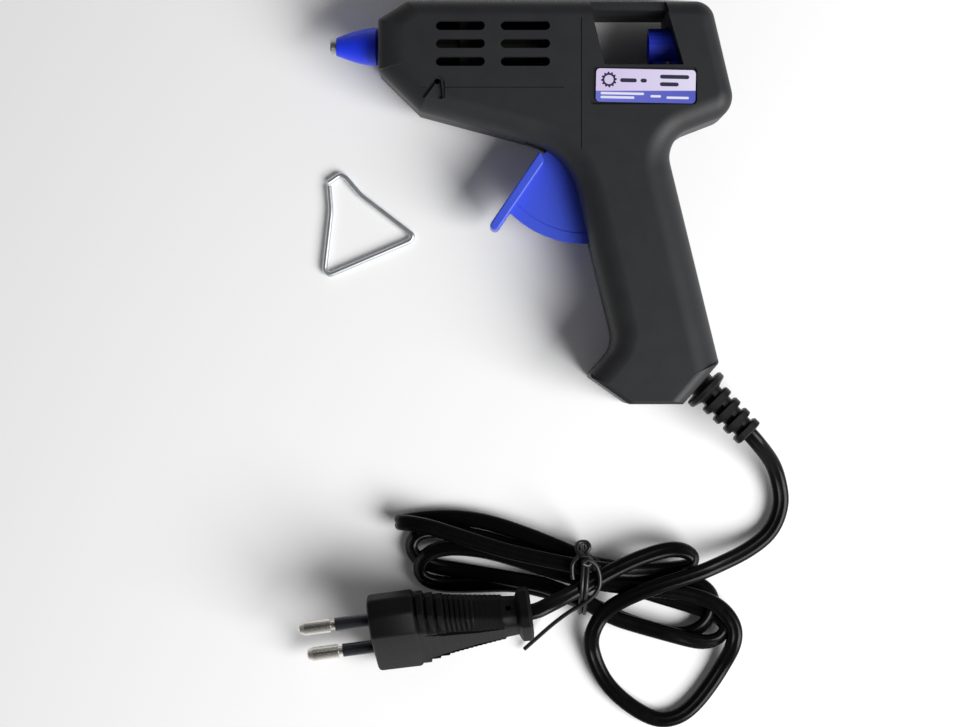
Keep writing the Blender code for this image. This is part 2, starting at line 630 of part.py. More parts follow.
def make_spring():
    """Return spring on its guide, between the rib and the carriage's front bridge."""
    points = []
    start, end, turns, steps = -1.2, 15.2, 8, 12
    for n in range(turns * steps + 1):
        angle = 2 * math.pi * n / steps
        along = start + (end - start) * n / (turns * steps)
        points.append((along, 32.0 + 2.0 * math.cos(angle), 2.0 * math.sin(angle)))
    tube("return_spring", points, 0.35, STEEL, smooth=1, resolution=1)
    guide = [(0.0, 0.0), (0.0, 1.0), (3.6, 1.0), (3.6, 0.9), (14.8, 0.9), (14.8, 0.0)]
    turned("spring_guide", guide, STEEL, (-5.0, 32.0, 0), (1, 0, 0), 20)


def make_rear_guide():
    """Short flanged tube that leads the stick in at the rear."""
    inner = STICK_R + 0.5
    outer = STICK_R + 1.3
    profile = [(0.0, inner), (0.0, outer + 0.6), (0.8, outer + 0.6), (0.8, outer), (3.9, outer),
               (3.9, inner), (0.0, inner)]
    turned("inlet_guide", profile, BLACK, (48.2, AXIS_Y, 0), (1, 0, 0))


def make_label():
    """Rating label in its pocket, left blank."""
    box("rating_label", (17.7, 45.5), (27.1, 36.4), (HALF - 0.4, HALF - 0.1), LABEL)


def make_gland():
    """Moulded strain relief: inner collar, wall neck, flange and ribbed tail in one piece."""
    profile = [(-8.0, 0.0), (-8.0, 3.6), (-2.6, 3.6), (-2.6, 3.9), (0.6, 3.9), (0.6, 6.4),
               (2.6, 6.4), (3.0, 4.2)]
    for n in range(4):
        at = 4.4 + 3.9 * n
        wide = 4.3 - 0.1 * n
        profile += [(at, 2.9), (at + 0.4, 2.9), (at + 0.4, wide), (at + 2.0, wide), (at + 2.0, 2.9)]
    profile += [(18.3, 2.7), (18.3, 0.0)]
    turned("strain_relief", profile, CORD_BLACK, (*GLAND, 0), (*GLAND_WAY, 0))


def along_gland(by, up=0.0):
    """A point on the gland's axis."""
    return (GLAND[0] + by * GLAND_WAY[0], GLAND[1] + by * GLAND_WAY[1], up)


def make_wiring():
    """Inner cord, its two cores, and the clamp bar with its screws."""
    tube("cord_inner", [along_gland(-8.4), along_gland(-19.0)], 1.6, CORD_BLACK, smooth=1)
    x0, y0, _ = along_gland(-19.5)
    level = HALF - 4.4
    plan = [(31.5, -20.0, level - 0.6), (29.0, 2.0, level), (25.0, 15.0, level), (20.5, 25.4, level),
            (9.0, 26.0, level), (-2.0, 25.4, level - 0.4), (-7.4, 27.4, 6.0), (-7.8, 31.6, 2.4)]
    for name, look, side in (("live_wire", BROWN, 1), ("neutral_wire", SKY, -1)):
        start = [(x0, y0, side * 1.1), (33.2, -33.0, side * 4.5)]
        route = start + [(x, y, side * up) for x, y, up in plan]
        tube(name, route, WIRE_R, look, smooth=5)
    centre = along_gland(CLAMP_AT)
    tilt = math.degrees(math.atan2(GLAND_WAY[0], -GLAND_WAY[1]))
    bar = prism("cord_clamp", stadium(centre[:2], CLAMP_HALF, 2.2, tilt), 2.0, 4.0, BLACK)
    for n, (x, y) in enumerate(clamp_screws()):
        cut_all(bar, [rod(f"clamp_hole_{n}", (x, y, -6), (x, y, 9), 1.3, cutter=True)])
        profile = [(-6.6, 0.0), (-6.6, 0.5), (-6.2, 1.0), (4.3, 1.0), (4.3, 2.0), (5.6, 2.0), (5.6, 0.0)]
        turned(f"clamp_screw_{n + 1}", profile, STEEL, (x, y, 0), (0, 0, 1), 20)


def plug_frame():
    """Rotation whose X runs to the tail, Y along the pin line and Z through the thin side."""
    along = Vector(PLUG_WAY).normalized()
    flat = Vector((-along.y, along.x, 0))
    roll = math.radians(PLUG_ROLL_DEG)
    across = flat * math.cos(roll) + Vector((0, 0, 1)) * math.sin(roll)
    return Matrix((along, across, along.cross(across))).transposed()


def plug_point(frame, s, w, t):
    """A plan point from the plug's own axes."""
    local = frame @ Vector((s, w, t))
    return (PLUG_BASE[0] + local.x, PLUG_BASE[1] + local.y, PLUG_HEIGHT - HALF + local.z)


def make_plug():
    """Moulded body with its two pins, each in a sleeve."""
    frame = plug_frame()
    middle = world(*plug_point(frame, 0, 0, 0))
    loops = []
    for s, wide, thin in PLUG_SECTIONS:
        ring = []
        for n in range(SEGMENTS):
            angle = 2 * math.pi * n / SEGMENTS
            c, d = math.cos(angle), math.sin(angle)
            w = wide * math.copysign(abs(c) ** 0.6, c)
            t = thin * math.copysign(abs(d) ** 0.75, d)
            ring.append(world(*plug_point(frame, s, w, t)) - middle)
        loops.append(ring)
    bm = bmesh.new()
    loft(bm, loops)
    body = keep(bm, "plug_body", CORD_BLACK, at=middle)
    for n, side in enumerate((1, -1)):
        sleeve = [plug_point(frame, s, side * 9.3, 0) for s in (3.0, -10.3)]
        combine(body, rod(f"pin_way_{n}", sleeve[0], plug_point(frame, -2, side * 9.3, 0),
                          1.9 + GAP_MM, cutter=True))
        hollow = rod(f"pin_sleeve_{n + 1}", plug_point(frame, 2.6, side * 9.3, 0),
                     plug_point(frame, -9.6, side * 9.3, 0), 1.9, CORD_BLACK)
        combine(hollow, rod(f"sleeve_way_{n}", plug_point(frame, 1.0, side * 9.3, 0),
                            plug_point(frame, -12, side * 9.3, 0), 1.3 + GAP_MM, cutter=True))
        pin = [(-1.6, 0.0), (-1.6, 1.3), (9.9, 1.3), (9.9, 2.0), (17.2, 2.0), (18.6, 1.4), (19.0, 0.5),
               (19.0, 0.0)]
        start = plug_point(frame, -1.0, side * 9.3, 0)
        turned(f"plug_pin_{n + 1}", pin, NICKEL, start, -frame.col[0], 24)


def make_cord():
    """The lead, the loop and the tail round the tied hank, each clear of the next."""
    tube("cord_lead", [resting(*p) for p in CORD_ROUTE], CORD_R, CORD_BLACK, smooth=4)
    tube("cord_loop", [resting(*p) for p in LOOP_ROUTE], CORD_R, CORD_BLACK, smooth=3)
    tail = [laid(x, y, height - HALF) for x, y, height in TAIL_ROUTE]
    tube("cord_tail", tail, CORD_R, CORD_BLACK, smooth=3)
    outline = [laid(x, y, 8.0 - HALF)[:2] for x, y in HANK]
    hank = bundle("cord_hank", outline, -HALF + 0.1, -HALF + 10.5, 2.5)
    tie_low, tie_high = -HALF + 0.05, -HALF + 12.2
    tie_ring("cord_tie", 13.4, 15.8, (-123.4, -94.6), (tie_low, tie_high), 0.0, CORD_BLACK)
    slot = tie_ring("tie_slot", 13.4 - GAP_MM, 15.8 + GAP_MM, (-123.4, -94.6),
                    (tie_low, tie_high), GAP_MM, CORD_BLACK, True)
    combine(hank, slot)


def bundle(name, outline, low, high, round_by, steps=3):
    """The bundle's outer shape: a slab whose edges are rounded top and bottom."""
    loops = []
    for n in range(steps + 1):
        angle = math.pi / 2 * n / steps
        inward = round_by * (1 - math.sin(angle))
        loops.append((inward, low + round_by * (1 - math.cos(angle))))
    for n in range(steps + 1):
        angle = math.pi / 2 * n / steps
        inward = round_by * (1 - math.cos(angle))
        loops.append((inward, high - round_by * (1 - math.sin(angle))))
    middle = world(10.0, -108.0, 0.0)
    bm = bmesh.new()
    loft(bm, [[world(x, y, up) - middle for x, y in inset(outline, by)] for by, up in loops])
    return keep(bm, name, CORD_BLACK, at=middle)


def tie_ring(name, x0, x1, ys, ups, grow, look, cutter=False):
    """A flat band round the bundle."""
    thick = 1.5
    outer = box(name, (x0, x1), (ys[0] - grow, ys[1] + grow), (ups[0] - grow, ups[1] + grow),
                look, cutter)
    hole = box(name + "_hole", (x0 - 1, x1 + 1), (ys[0] + thick + grow, ys[1] - thick - grow),
               (ups[0] + thick + grow, ups[1] - thick - grow), cutter=True)
    combine(outer, hole)
    return outer


def make_stand():
    """One bent wire, lying flat."""
    flat = -HALF + STAND_R
    tube("wire_stand", [laid(x, y, flat) for x, y in STAND_ROUTE], STAND_R, STEEL, smooth=1)


def ride(name, at, children):
    """Parent moving pieces to an empty that stands on their joint's axis."""
    axis = bpy.data.objects.new(name, None)
    axis.location = at
    collection(COLLECTION).objects.link(axis)
    bpy.context.view_layer.update()
    for child in children:
        obj = bpy.data.objects[child]
        obj.parent = axis
        obj.matrix_parent_inverse = axis.matrix_world.inverted()


def shade():
    """Smooth shading with sharp edges kept."""
    for obj in collection(COLLECTION).objects:
        if obj.type == "MESH":
            obj.data.shade_smooth()
            obj.data.set_sharp_from_angle(angle=math.radians(30))


def main():
    """Build the gun, its cord and its stand."""
    clear_scene()
    outline = filleted(CORNERS)
    make_housings(outline, make_core(outline))
    make_screws()
    make_nozzle()
    make_heater()
    make_trigger()
    make_carriage()
    make_spring()
    make_rear_guide()
    make_label()
    make_gland()
    make_wiring()
    make_plug()
    make_cord()
    make_stand()
    ride("trigger_axis", world(*PIVOT, 0.0), ["trigger", "link_pin"])
    ride("carriage_slide", world(33.2, AXIS_Y, 0.0), ["feed_carriage", "grip_jaw", "jaw_pin"])
    ride("stand_lift", world(-50.0, -5.0, -HALF), ["wire_stand"])
    shade()


if __name__ == "__main__":
    main()
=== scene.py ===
"""Corded hot glue gun lying on its right side, with its tied cord, plug and wire stand.

Plan figures are millimetres with the nozzle toward -X and the barrel's top toward +Y; heights are
millimetres above the surface. `place` turns them into metres in the row frame.
"""

import json
import logging
import math
from dataclasses import dataclass, field
from enum import Enum

import bmesh
import bpy
from mathutils import Matrix, Vector

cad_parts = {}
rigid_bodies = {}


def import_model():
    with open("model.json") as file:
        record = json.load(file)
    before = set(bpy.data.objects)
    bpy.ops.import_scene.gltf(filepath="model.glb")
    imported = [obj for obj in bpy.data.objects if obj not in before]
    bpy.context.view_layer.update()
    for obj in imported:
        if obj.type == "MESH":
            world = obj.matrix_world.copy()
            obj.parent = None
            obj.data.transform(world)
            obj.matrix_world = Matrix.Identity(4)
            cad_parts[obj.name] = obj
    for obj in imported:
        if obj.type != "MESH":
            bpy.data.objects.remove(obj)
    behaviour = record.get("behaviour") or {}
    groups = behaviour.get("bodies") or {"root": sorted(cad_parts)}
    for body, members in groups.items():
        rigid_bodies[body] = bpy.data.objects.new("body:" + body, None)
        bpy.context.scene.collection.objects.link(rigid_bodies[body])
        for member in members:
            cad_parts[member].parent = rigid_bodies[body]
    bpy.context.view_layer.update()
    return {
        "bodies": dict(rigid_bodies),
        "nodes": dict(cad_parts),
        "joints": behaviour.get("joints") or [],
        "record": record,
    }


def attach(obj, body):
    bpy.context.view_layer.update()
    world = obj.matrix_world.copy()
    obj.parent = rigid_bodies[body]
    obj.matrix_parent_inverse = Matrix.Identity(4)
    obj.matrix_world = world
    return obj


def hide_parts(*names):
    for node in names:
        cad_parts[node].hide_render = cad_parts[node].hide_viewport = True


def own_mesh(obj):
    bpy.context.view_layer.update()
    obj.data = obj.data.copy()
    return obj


LOG = logging.getLogger("glue_gun")

MM = 0.001
MERGE = 1e-7
SHIFT_X = 2.25
SHIFT_Y = 0.55
SIGHT = (-13.4, -45.7, 668.0)
WIDTH = 28.0
MID = WIDTH / 2
WALL = 2.0
PART_GAP = 0.15
INK_LEVELS = (WIDTH - 0.125, WIDTH - 0.085)
AXIS_Y = 44.5
PIVOT = (15.4, 18.95)
FAN_R = 30.6
GLAND = Vector((48.5, -51.9))
GLAND_WAY = Vector((0.70, -0.714)).normalized()
CORD_WIDTH = 4.6
CORD_THICK = 3.0

Point2 = tuple[float, float]
Point3 = tuple[float, float, float]
Tree = bpy.types.NodeTree
Socket = bpy.types.NodeSocket


class Side(Enum):
    """Which half of the housing a piece belongs to."""

    LEFT = 1
    RIGHT = -1


class Body(Enum):
    """The rigid bodies that pieces ride on."""

    ROOT = "root"
    TRIGGER = "trigger"
    CARRIAGE = "carriage"
    STAND = "stand"


@dataclass(frozen=True)
class Corner:
    """One corner of the housing outline.

    Attributes:
        x, y: the sharp corner's place in the plan.
        fillet: corner radius in the plan.
        edge: how far the side face stands in from the edge that follows this corner.
        drop: how deep that edge's rounding goes.
    """

    x: float
    y: float
    fillet: float
    edge: float
    drop: float


@dataclass(frozen=True)
class Finish:
    """A procedural finish.

    Attributes:
        name: material name.
        colour: base colour, linear.
        rough: mean roughness.
        metal: metallic share.
        grain: texture scale per metre.
        bump: strength of the fine relief.
        fleck: how far the colour drifts toward `second`.
        second: the colour it drifts to.
        specular: specular level.
    """

    name: str
    colour: tuple[float, float, float]
    rough: float
    metal: float = 0.0
    grain: float = 2500.0
    bump: float = 0.1
    fleck: float = 0.25
    second: tuple[float, float, float] = (0.02, 0.02, 0.02)
    specular: float = 0.5


HOUSING = Finish("housing_texture", (0.0180, 0.0186, 0.0202), 0.50, grain=2600, bump=0.2, fleck=0.35,
                 second=(0.026, 0.027, 0.0285), specular=0.32)
BLUE = Finish("trigger_moulding", (0.050, 0.095, 0.68), 0.38, grain=900, bump=0.05, fleck=0.3,
              second=(0.060, 0.105, 0.72))
CARRIAGE_BLUE = Finish("carriage_moulding", (0.035, 0.070, 0.90), 0.36, grain=900, bump=0.05,
                       fleck=0.3, second=(0.03, 0.06, 0.90))
NOZZLE = Finish("nozzle_silicone", (0.010, 0.045, 1.0), 0.42, grain=700, bump=0.04, fleck=0.25,
                second=(0.012, 0.045, 1.0))
ALUMINIUM = Finish("turned_aluminium", (0.62, 0.62, 0.60), 0.32, metal=1.0, grain=1800, bump=0.2,
                   fleck=0.4, second=(0.38, 0.37, 0.35))
STEEL = Finish("plated_wire", (0.72, 0.74, 0.76), 0.42, metal=1.0, grain=1200, bump=0.06, fleck=0.3,
               second=(0.45, 0.47, 0.49))
NICKEL = Finish("nickel_plate", (0.78, 0.75, 0.70), 0.26, metal=1.0, grain=1500, bump=0.05,
                fleck=0.35, second=(0.50, 0.46, 0.40))
CERAMIC = Finish("heater_film", (0.42, 0.36, 0.26), 0.5, grain=900, bump=0.2, second=(0.5, 0.45, 0.36))
SILICONE = Finish("white_silicone", (0.62, 0.60, 0.56), 0.55, grain=900, bump=0.1,
                  second=(0.52, 0.50, 0.46))
BROWN = Finish("brown_insulation", (0.16, 0.06, 0.025), 0.4, grain=900, second=(0.2, 0.08, 0.03))
SKY = Finish("blue_insulation", (0.03, 0.12, 0.42), 0.4, grain=900, second=(0.05, 0.16, 0.5))
CORD = Finish("cord_vinyl", (0.0018, 0.0018, 0.0021), 0.24, grain=500, bump=0.05, fleck=0.3,
              second=(0.003, 0.003, 0.0034), specular=0.15)
GLAND_BLACK = Finish("gland_vinyl", (0.006, 0.006, 0.0065), 0.42, grain=1400, bump=0.14,
                     fleck=0.3, second=(0.010, 0.010, 0.0105), specular=0.3)
PLUG = Finish("plug_vinyl", (0.0030, 0.0031, 0.0034), 0.50, grain=1700, bump=0.3, fleck=0.7,
              second=(0.0065, 0.0068, 0.0072), specular=0.11)
# Painted shade: the melt chamber, heater clip and inlet clamp are darkened to stand in for the shade inside
# the housing behind the vents.
SHADE_DARKENED_METAL = Finish("shade_darkened_metal", (0.035, 0.034, 0.032), 0.55, metal=1.0, grain=1500, bump=0.2,
                second=(0.06, 0.058, 0.052))
# Painted shade: the white inlet sleeve is darkened to stand in for the shade inside the housing.
SHADE_DARKENED_INLET = Finish("shade_darkened_inlet", (0.03, 0.028, 0.027), 0.6, grain=900, bump=0.1)
SLEEVE = Finish("sleeve_plastic", (0.010, 0.011, 0.016), 0.30, grain=900, second=(0.016, 0.017, 0.02))
TIE = Finish("tie_vinyl", (0.005, 0.005, 0.0055), 0.38, grain=1200, bump=0.1,
             second=(0.02, 0.02, 0.021))
PRINT = Finish("label_ink", (0.02, 0.02, 0.05), 0.45, grain=1500, second=(0.03, 0.03, 0.07))
PALE_INK = Finish("label_pale_ink", (0.78, 0.78, 0.92), 0.45, grain=1500, second=(0.7, 0.7, 0.9))

OUTLINE = [
    Corner(-43.2, 51.0, 1.2, 6.0, 5.0), Corner(-35.3, 56.0, 2.5, 4.6, 4.6),
    Corner(50.0, 56.0, 5.6, 4.2, 4.2), Corner(57.3, 25.1, 6.6, 6.2, 5.4),
    Corner(37.3, 17.4, 8.0, 8.2, 7.4), Corner(52.6, -45.2, 1.6, 3.4, 3.2),
    Corner(42.3, -57.1, 0.9, 0.9, 1.2), Corner(26.9, -57.1, 1.6, 1.5, 1.5),
    Corner(15.7, -49.2, 1.1, 6.0, 5.0), Corner(23.4, -40.5, 8.0, 7.4, 6.6),
    Corner(10.1, 14.0, 19.5, 6.4, 7.0), Corner(-31.7, 25.2, 1.2, 6.5, 6.0),
    Corner(-43.2, 36.5, 1.0, 7.5, 3.6),
]
FINGER_PLATE = [
    Corner(2.4, 14.6, 0.5, 0.55, 0.55), Corner(3.5, 11.2, 1.9, 0.55, 0.55),
    Corner(-10.0, -8.5, 1.3, 0.55, 0.55), Corner(-12.3, -7.0, 1.25, 0.55, 0.55),
]
WINDOW = [(16.4, 53.2), (37.7, 53.2), (42.2, 37.7), (20.1, 37.7)]
VENTS = [(x0, x1, y) for x0, x1 in ((-27.0, -13.3), (-8.9, 4.9)) for y in (48.6, 43.6, 38.6)]
VENT_R = 1.3
# Round ways along the barrel's axis: from, to and radius.
BORES = [(-45.6, -38, 5.0), (11, 24, 5.3), (36, 48, 5.75), (48, 60, 5.2)]
COUNTERBORE_R = 2.9
COUNTERBORE_DEEP = 4.2
BOSS_R = 3.0
SCREWS = [(-35.4, 33.4), (10.2, 52.6), (51.0, 27.4), (38.0, -8.0), (26.4, -49.4)]

# The cord's route from the gland to the plug: x, y, height and how far the flat cord is rolled.
ROUTE = [
    (60.2, -63.8, 14.0, 20),
    (62.2, -65.8, 14.0, 20), (64.8, -68.8, 12.4, 15), (68.4, -73.7, 7.4, 10), (70.3, -78.9, 4.2, 5),
    (71.1, -85.8, 2.6, 0), (68.2, -93.4, 2.2, 0), (61.6, -98.9, 4.2, 0), (53.0, -103.2, 7.6, 0),
    (46.3, -105.9, 8.7, 0), (35.1, -109.4, 8.7, 0), (26.1, -113.1, 7.4, 0), (20.4, -117.1, 5.6, 0),
    (17.4, -122.4, 4.9, 0), (17.2, -127.4, 2.6, 0), (19.8, -134.2, 1.7, 0),
    (23.8, -139.5, 1.7, 0), (29.7, -144.2, 1.7, 0), (35.9, -147.1, 1.7, 0), (41.4, -146.4, 1.7, 0),
    (46.0, -143.2, 1.7, 0), (50.6, -137.6, 1.7, 0), (54.6, -131.4, 2.2, 0), (57.6, -125.6, 4.4, 0),
    (57.6, -120.4, 4.9, 0), (54.0, -115.4, 5.0, 0), (47.6, -112.2, 5.0, 0), (39.5, -110.5, 5.2, 0),
    (30.0, -109.6, 5.2, 0), (21.5, -108.6, 5.0, 0), (14.6, -107.2, 4.9, 0), (5.0, -104.4, 4.6, 0),
    (-6.1, -100.9, 4.6, 0), (-14.0, -98.9, 4.9, 0), (-21.4, -98.2, 5.0, 8),
    (-27.0, -98.8, 5.0, 25), (-31.0, -101.2, 4.7, 50), (-32.0, -104.4, 3.9, 62), (-30.2, -107.2, 3.0, 45),
    (-25.0, -108.7, 2.0, 15), (-16.0, -108.8, 1.7, 0), (-5.0, -108.6, 1.7, 0), (4.0, -110.4, 1.7, 0),
    (14.6, -113.4, 1.7, 0), (24.0, -117.8, 1.7, 0), (33.0, -121.0, 1.8, 0), (40.0, -122.6, 1.9, 10),
    (45.4, -122.3, 2.2, 30), (49.6, -119.6, 2.5, 45), (51.6, -115.4, 2.5, 45), (50.8, -111.2, 2.4, 30),
    (46.6, -108.2, 2.0, 10), (38.0, -106.4, 1.7, 0), (27.0, -104.6, 1.7, 0), (14.6, -102.3, 1.7, 0),
    (2.0, -99.6, 1.7, 0), (-10.0, -96.4, 1.7, 0), (-20.0, -94.2, 1.7, 0), (-27.0, -93.3, 2.0, 15),
    (-32.0, -94.2, 2.6, 45), (-34.3, -97.3, 2.8, 60), (-32.9, -100.8, 2.4, 45), (-28.0, -103.2, 1.8, 15),
    (-21.4, -104.4, 1.7, 0), (-12.0, -106.0, 1.8, 0), (-3.0, -107.6, 3.6, 0), (4.0, -109.0, 4.9, 0),
    (14.6, -113.2, 4.9, 0), (23.0, -117.9, 4.9, 0), (30.6, -120.4, 4.7, 0), (40.0, -123.0, 5.0, 5),
    (48.0, -125.0, 4.6, 25), (53.0, -124.2, 4.2, 50), (55.2, -121.2, 3.6, 55), (53.2, -117.8, 2.2, 30),
    (46.0, -114.8, 1.7, 0), (34.0, -111.2, 1.7, 0), (24.0, -107.4, 3.4, 0), (14.6, -101.2, 4.9, 0),
    (6.0, -97.4, 4.6, 0), (-3.9, -93.6, 3.6, 0), (-12.6, -90.9, 2.6, 0), (-21.4, -89.6, 2.2, 0),
    (-29.0, -89.7, 2.1, 0), (-34.6, -90.4, 2.6, 0), (-37.4, -90.9, 4.6, 0), (-37.0, -91.0, 7.4, 0),
    (-33.6, -91.4, 8.8, 0), (-28.0, -92.6, 8.8, 0), (-21.4, -94.7, 8.6, 0), (-8.3, -98.8, 8.2, 0),
    (3.0, -101.4, 8.1, 0), (14.6, -103.7, 8.1, 0), (27.0, -105.0, 5.4, 0), (36.0, -104.6, 4.4, 0),
    (41.6, -104.1, 4.6, 15), (45.2, -103.0, 5.2, 45), (46.0, -100.8, 6.0, 55), (43.4, -99.0, 6.8, 35),
    (38.8, -98.8, 7.4, 10), (31.6, -100.9, 8.2, 0), (24.0, -104.3, 8.6, 0), (18.4, -107.4, 9.0, 0),
    (14.6, -109.4, 9.6, 0), (9.6, -112.1, 11.6, 0), (5.0, -114.5, 14.4, 10), (1.7, -116.1, 15.4, 20),
    (-1.6, -116.9, 15.7, 25),
]

PLUG_BASE = Vector((-45.2, -122.4, 15.7))
PLUG_WAY = Vector((0.992, 0.126, 0.0)).normalized()
PLUG_ROLL = math.radians(60.0)
STAND_ROUTE = [
    (-57.8, 5.9), (-54.6, 8.1), (-53.0, 7.4), (-48.7, 2.3), (-33.8, -9.1), (-34.4, -10.7),
    (-57.6, -20.5), (-59.0, -19.0), (-57.1, -2.3), (-57.7, 4.9),
]


def place(x: float, y: float, z: float) -> Vector:
    """Metres in the row frame for a plan point and a height, in millimetres.

    Args:
        x, y: plan position.
        z: height above the surface.

    Returns:
        The point in metres.
    """
    return Vector(((x + SHIFT_X) * MM, (y + SHIFT_Y) * MM, z * MM))


def laid(x: float, y: float, z: float) -> Point3:
    """A plan point carried along its line from SIGHT to the height it lies at.

    Args:
        x, y: plan position, true at the parting plane.
        z: height above the surface.

    Returns:
        The point in millimetres.
    """
    spread = (SIGHT[2] - z) / (SIGHT[2] - MID)
    return (SIGHT[0] + (x - SIGHT[0]) * spread, SIGHT[1] + (y - SIGHT[1]) * spread, z)


@dataclass
class Shader:
    """Builds procedural materials from finishes."""

    made: dict[str, bpy.types.Material] = field(default_factory=dict)

    def get(self, finish: Finish) -> bpy.types.Material:
        """The material for a finish, made once.

        Args:
            finish: the finish wanted.

        Returns:
            Its material.
        """
        if finish.name not in self.made:
            self.made[finish.name] = self._build(finish)
        return self.made[finish.name]

    def _build(self, finish: Finish) -> bpy.types.Material:
        """Noise-driven colour, roughness and fine relief round one Principled shader."""
        mat = bpy.data.materials.new(finish.name)
        mat.use_nodes = True
        tree = mat.node_tree
        shader = tree.nodes["Principled BSDF"]
        shader.inputs["Metallic"].default_value = finish.metal
        shader.inputs["Specular IOR Level"].default_value = finish.specular
        spot = tree.nodes.new("ShaderNodeTexCoord").outputs["Object"]
        broad = self.noise(tree, spot, finish.grain * 0.06, 3.0)
        fine = self.noise(tree, spot, finish.grain, 2.0)
        drift = self.ramp(tree, broad, 0.35, 0.68)
        scaled = self.maths(tree, "MULTIPLY", drift, finish.fleck)
        colour = self.mix(tree, scaled, finish.colour, finish.second)
        tree.links.new(colour, shader.inputs["Base Color"])
        rough = self.maths(tree, "MULTIPLY_ADD", fine, 0.16, finish.rough - 0.08)
        tree.links.new(rough, shader.inputs["Roughness"])
        bump = tree.nodes.new("ShaderNodeBump")
        bump.inputs["Strength"].default_value = finish.bump
        bump.inputs["Distance"].default_value = 0.00012
        tree.links.new(fine, bump.inputs["Height"])
        tree.links.new(bump.outputs["Normal"], shader.inputs["Normal"])
        return mat

    @staticmethod
    def noise(tree: Tree, spot: Socket, scale: float, detail: float) -> Socket:
        """A noise texture's factor at a scale."""
        node = tree.nodes.new("ShaderNodeTexNoise")
        node.inputs["Scale"].default_value = scale
        node.inputs["Detail"].default_value = detail
        tree.links.new(spot, node.inputs["Vector"])
        return node.outputs["Fac"]

    @staticmethod
    def ramp(tree: Tree, value: Socket, low: float, high: float) -> Socket:
        """The value spread from 0 at low to 1 at high."""
        node = tree.nodes.new("ShaderNodeMapRange")
        node.inputs["From Min"].default_value = low
        node.inputs["From Max"].default_value = high
        tree.links.new(value, node.inputs["Value"])
        return node.outputs["Result"]

    @staticmethod
    def maths(tree: Tree, operation: str, value: Socket, by: float, plus: float = 0.0) -> Socket:
        """One maths node on a linked value."""
        node = tree.nodes.new("ShaderNodeMath")
        node.operation = operation
        tree.links.new(value, node.inputs[0])
        node.inputs[1].default_value = by
        node.inputs[2].default_value = plus
        return node.outputs[0]

    @staticmethod
    def mix(tree: Tree, share: Socket, first: tuple | Socket, second: tuple | Socket) -> Socket:
        """A colour mix; each side is a colour or a linked output."""
        node = tree.nodes.new("ShaderNodeMix")
        node.data_type = "RGBA"
        tree.links.new(share, node.inputs["Factor"])
        for socket, value in ((node.inputs[6], first), (node.inputs[7], second)):
            if isinstance(value, tuple):
                socket.default_value = (*value, 1.0)
            else:
                tree.links.new(value, socket)
        return node.outputs[2]

    def label(self) -> bpy.types.Material:
        """The rating label: lilac film with a violet band along its lower edge."""
        mat = bpy.data.materials.new("label_film")
        mat.use_nodes = True
        tree = mat.node_tree
        shader = tree.nodes["Principled BSDF"]
        spot = tree.nodes.new("ShaderNodeTexCoord").outputs["Object"]
        parts = tree.nodes.new("ShaderNodeSeparateXYZ")
        tree.links.new(spot, parts.inputs[0])
        across = self.ramp(tree, parts.outputs["X"], 0.0199, 0.0478)
        top = self.mix(tree, across, (0.68, 0.58, 0.86), (0.76, 0.71, 0.90))
        low = self.mix(tree, across, (0.15, 0.17, 0.62), (0.09, 0.11, 0.52))
        band = self.ramp(tree, parts.outputs["Y"], 0.03085, 0.03105)
        tree.links.new(self.mix(tree, band, low, top), shader.inputs["Base Color"])
        film = self.noise(tree, spot, 900.0, 2.0)
        tree.links.new(self.maths(tree, "MULTIPLY_ADD", film, 0.2, 0.25), shader.inputs["Roughness"])
        return mat


SHADER = Shader()


def linked(bm: bmesh.types.BMesh, name: str, merge: float) -> bpy.types.Object:
    """A mesh's object in the scene, with near points joined and its faces turned outward."""
    bmesh.ops.remove_doubles(bm, verts=bm.verts, dist=merge)
    bmesh.ops.recalc_face_normals(bm, faces=bm.faces)
    mesh = bpy.data.meshes.new(name)
    bm.to_mesh(mesh)
    bm.free()
    obj = bpy.data.objects.new(name, mesh)
    bpy.context.scene.collection.objects.link(obj)
    return obj


def shade(piece: bpy.types.Object, angle: float, weight: int = 0) -> None:
    """Smooth shading with sharp edges kept.

    Args:
        piece: shaded in place.
        angle: edges sharper than this stay sharp, in degrees.
        weight: how far large faces set the shading, or 0 for not at all.
    """
    piece.data.shade_smooth()
    piece.data.set_sharp_from_angle(angle=math.radians(angle))
    if weight:
        weighted = piece.modifiers.new("weighted", "WEIGHTED_NORMAL")
        weighted.keep_sharp = True
        weighted.weight = weight


def circle(count: int) -> list[Point2]:
    """Cosine and sine at even steps round one turn."""
    return [(math.cos(t), math.sin(t)) for t in (2 * math.pi * n / count for n in range(count))]


def finished(bm: bmesh.types.BMesh, name: str, finish: Finish, body: Body = Body.ROOT,
             angle: float = 35.0, merge: float = MERGE) -> bpy.types.Object:
    """Turn a mesh into a smooth-shaded piece that rides on a body.

    Args:
        bm: the mesh, used up.
        name: piece name.
        finish: its finish.
        body: what it rides on.
        angle: edges sharper than this stay sharp, in degrees.
        merge: distance at which points are joined.

    Returns:
        The object.
    """
    obj = linked(bm, name, merge)
    shade(obj, angle)
    obj.data.materials.append(SHADER.get(finish))
    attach(obj, body.value)
    return obj


def skin(bm: bmesh.types.BMesh, loops: list[list[Vector]], closed: bool = False) -> None:
    """Join loops of equal count with faces, and cap the ends unless they close on themselves.

    Args:
        bm: mesh to add to.
        loops: rings of points.
        closed: the last ring joins the first, as round a bore.
    """
    rows = [[bm.verts.new(p) for p in loop] for loop in loops]
    count = len(rows[0])
    pairs = list(zip(rows, rows[1:]))
    if closed:
        pairs.append((rows[-1], rows[0]))
    for low, high in pairs:
        for n in range(count):
            m = (n + 1) % count
            bm.faces.new((low[n], low[m], high[m], high[n]))
    if not closed:
        bm.faces.new(rows[0])
        bm.faces.new(list(reversed(rows[-1])))


def cutter(loops: list[list[Vector]]) -> bpy.types.Object:
    """A throw-away solid for one Boolean."""
    bm = bmesh.new()
    skin(bm, loops)
    return linked(bm, "cutter", MERGE)


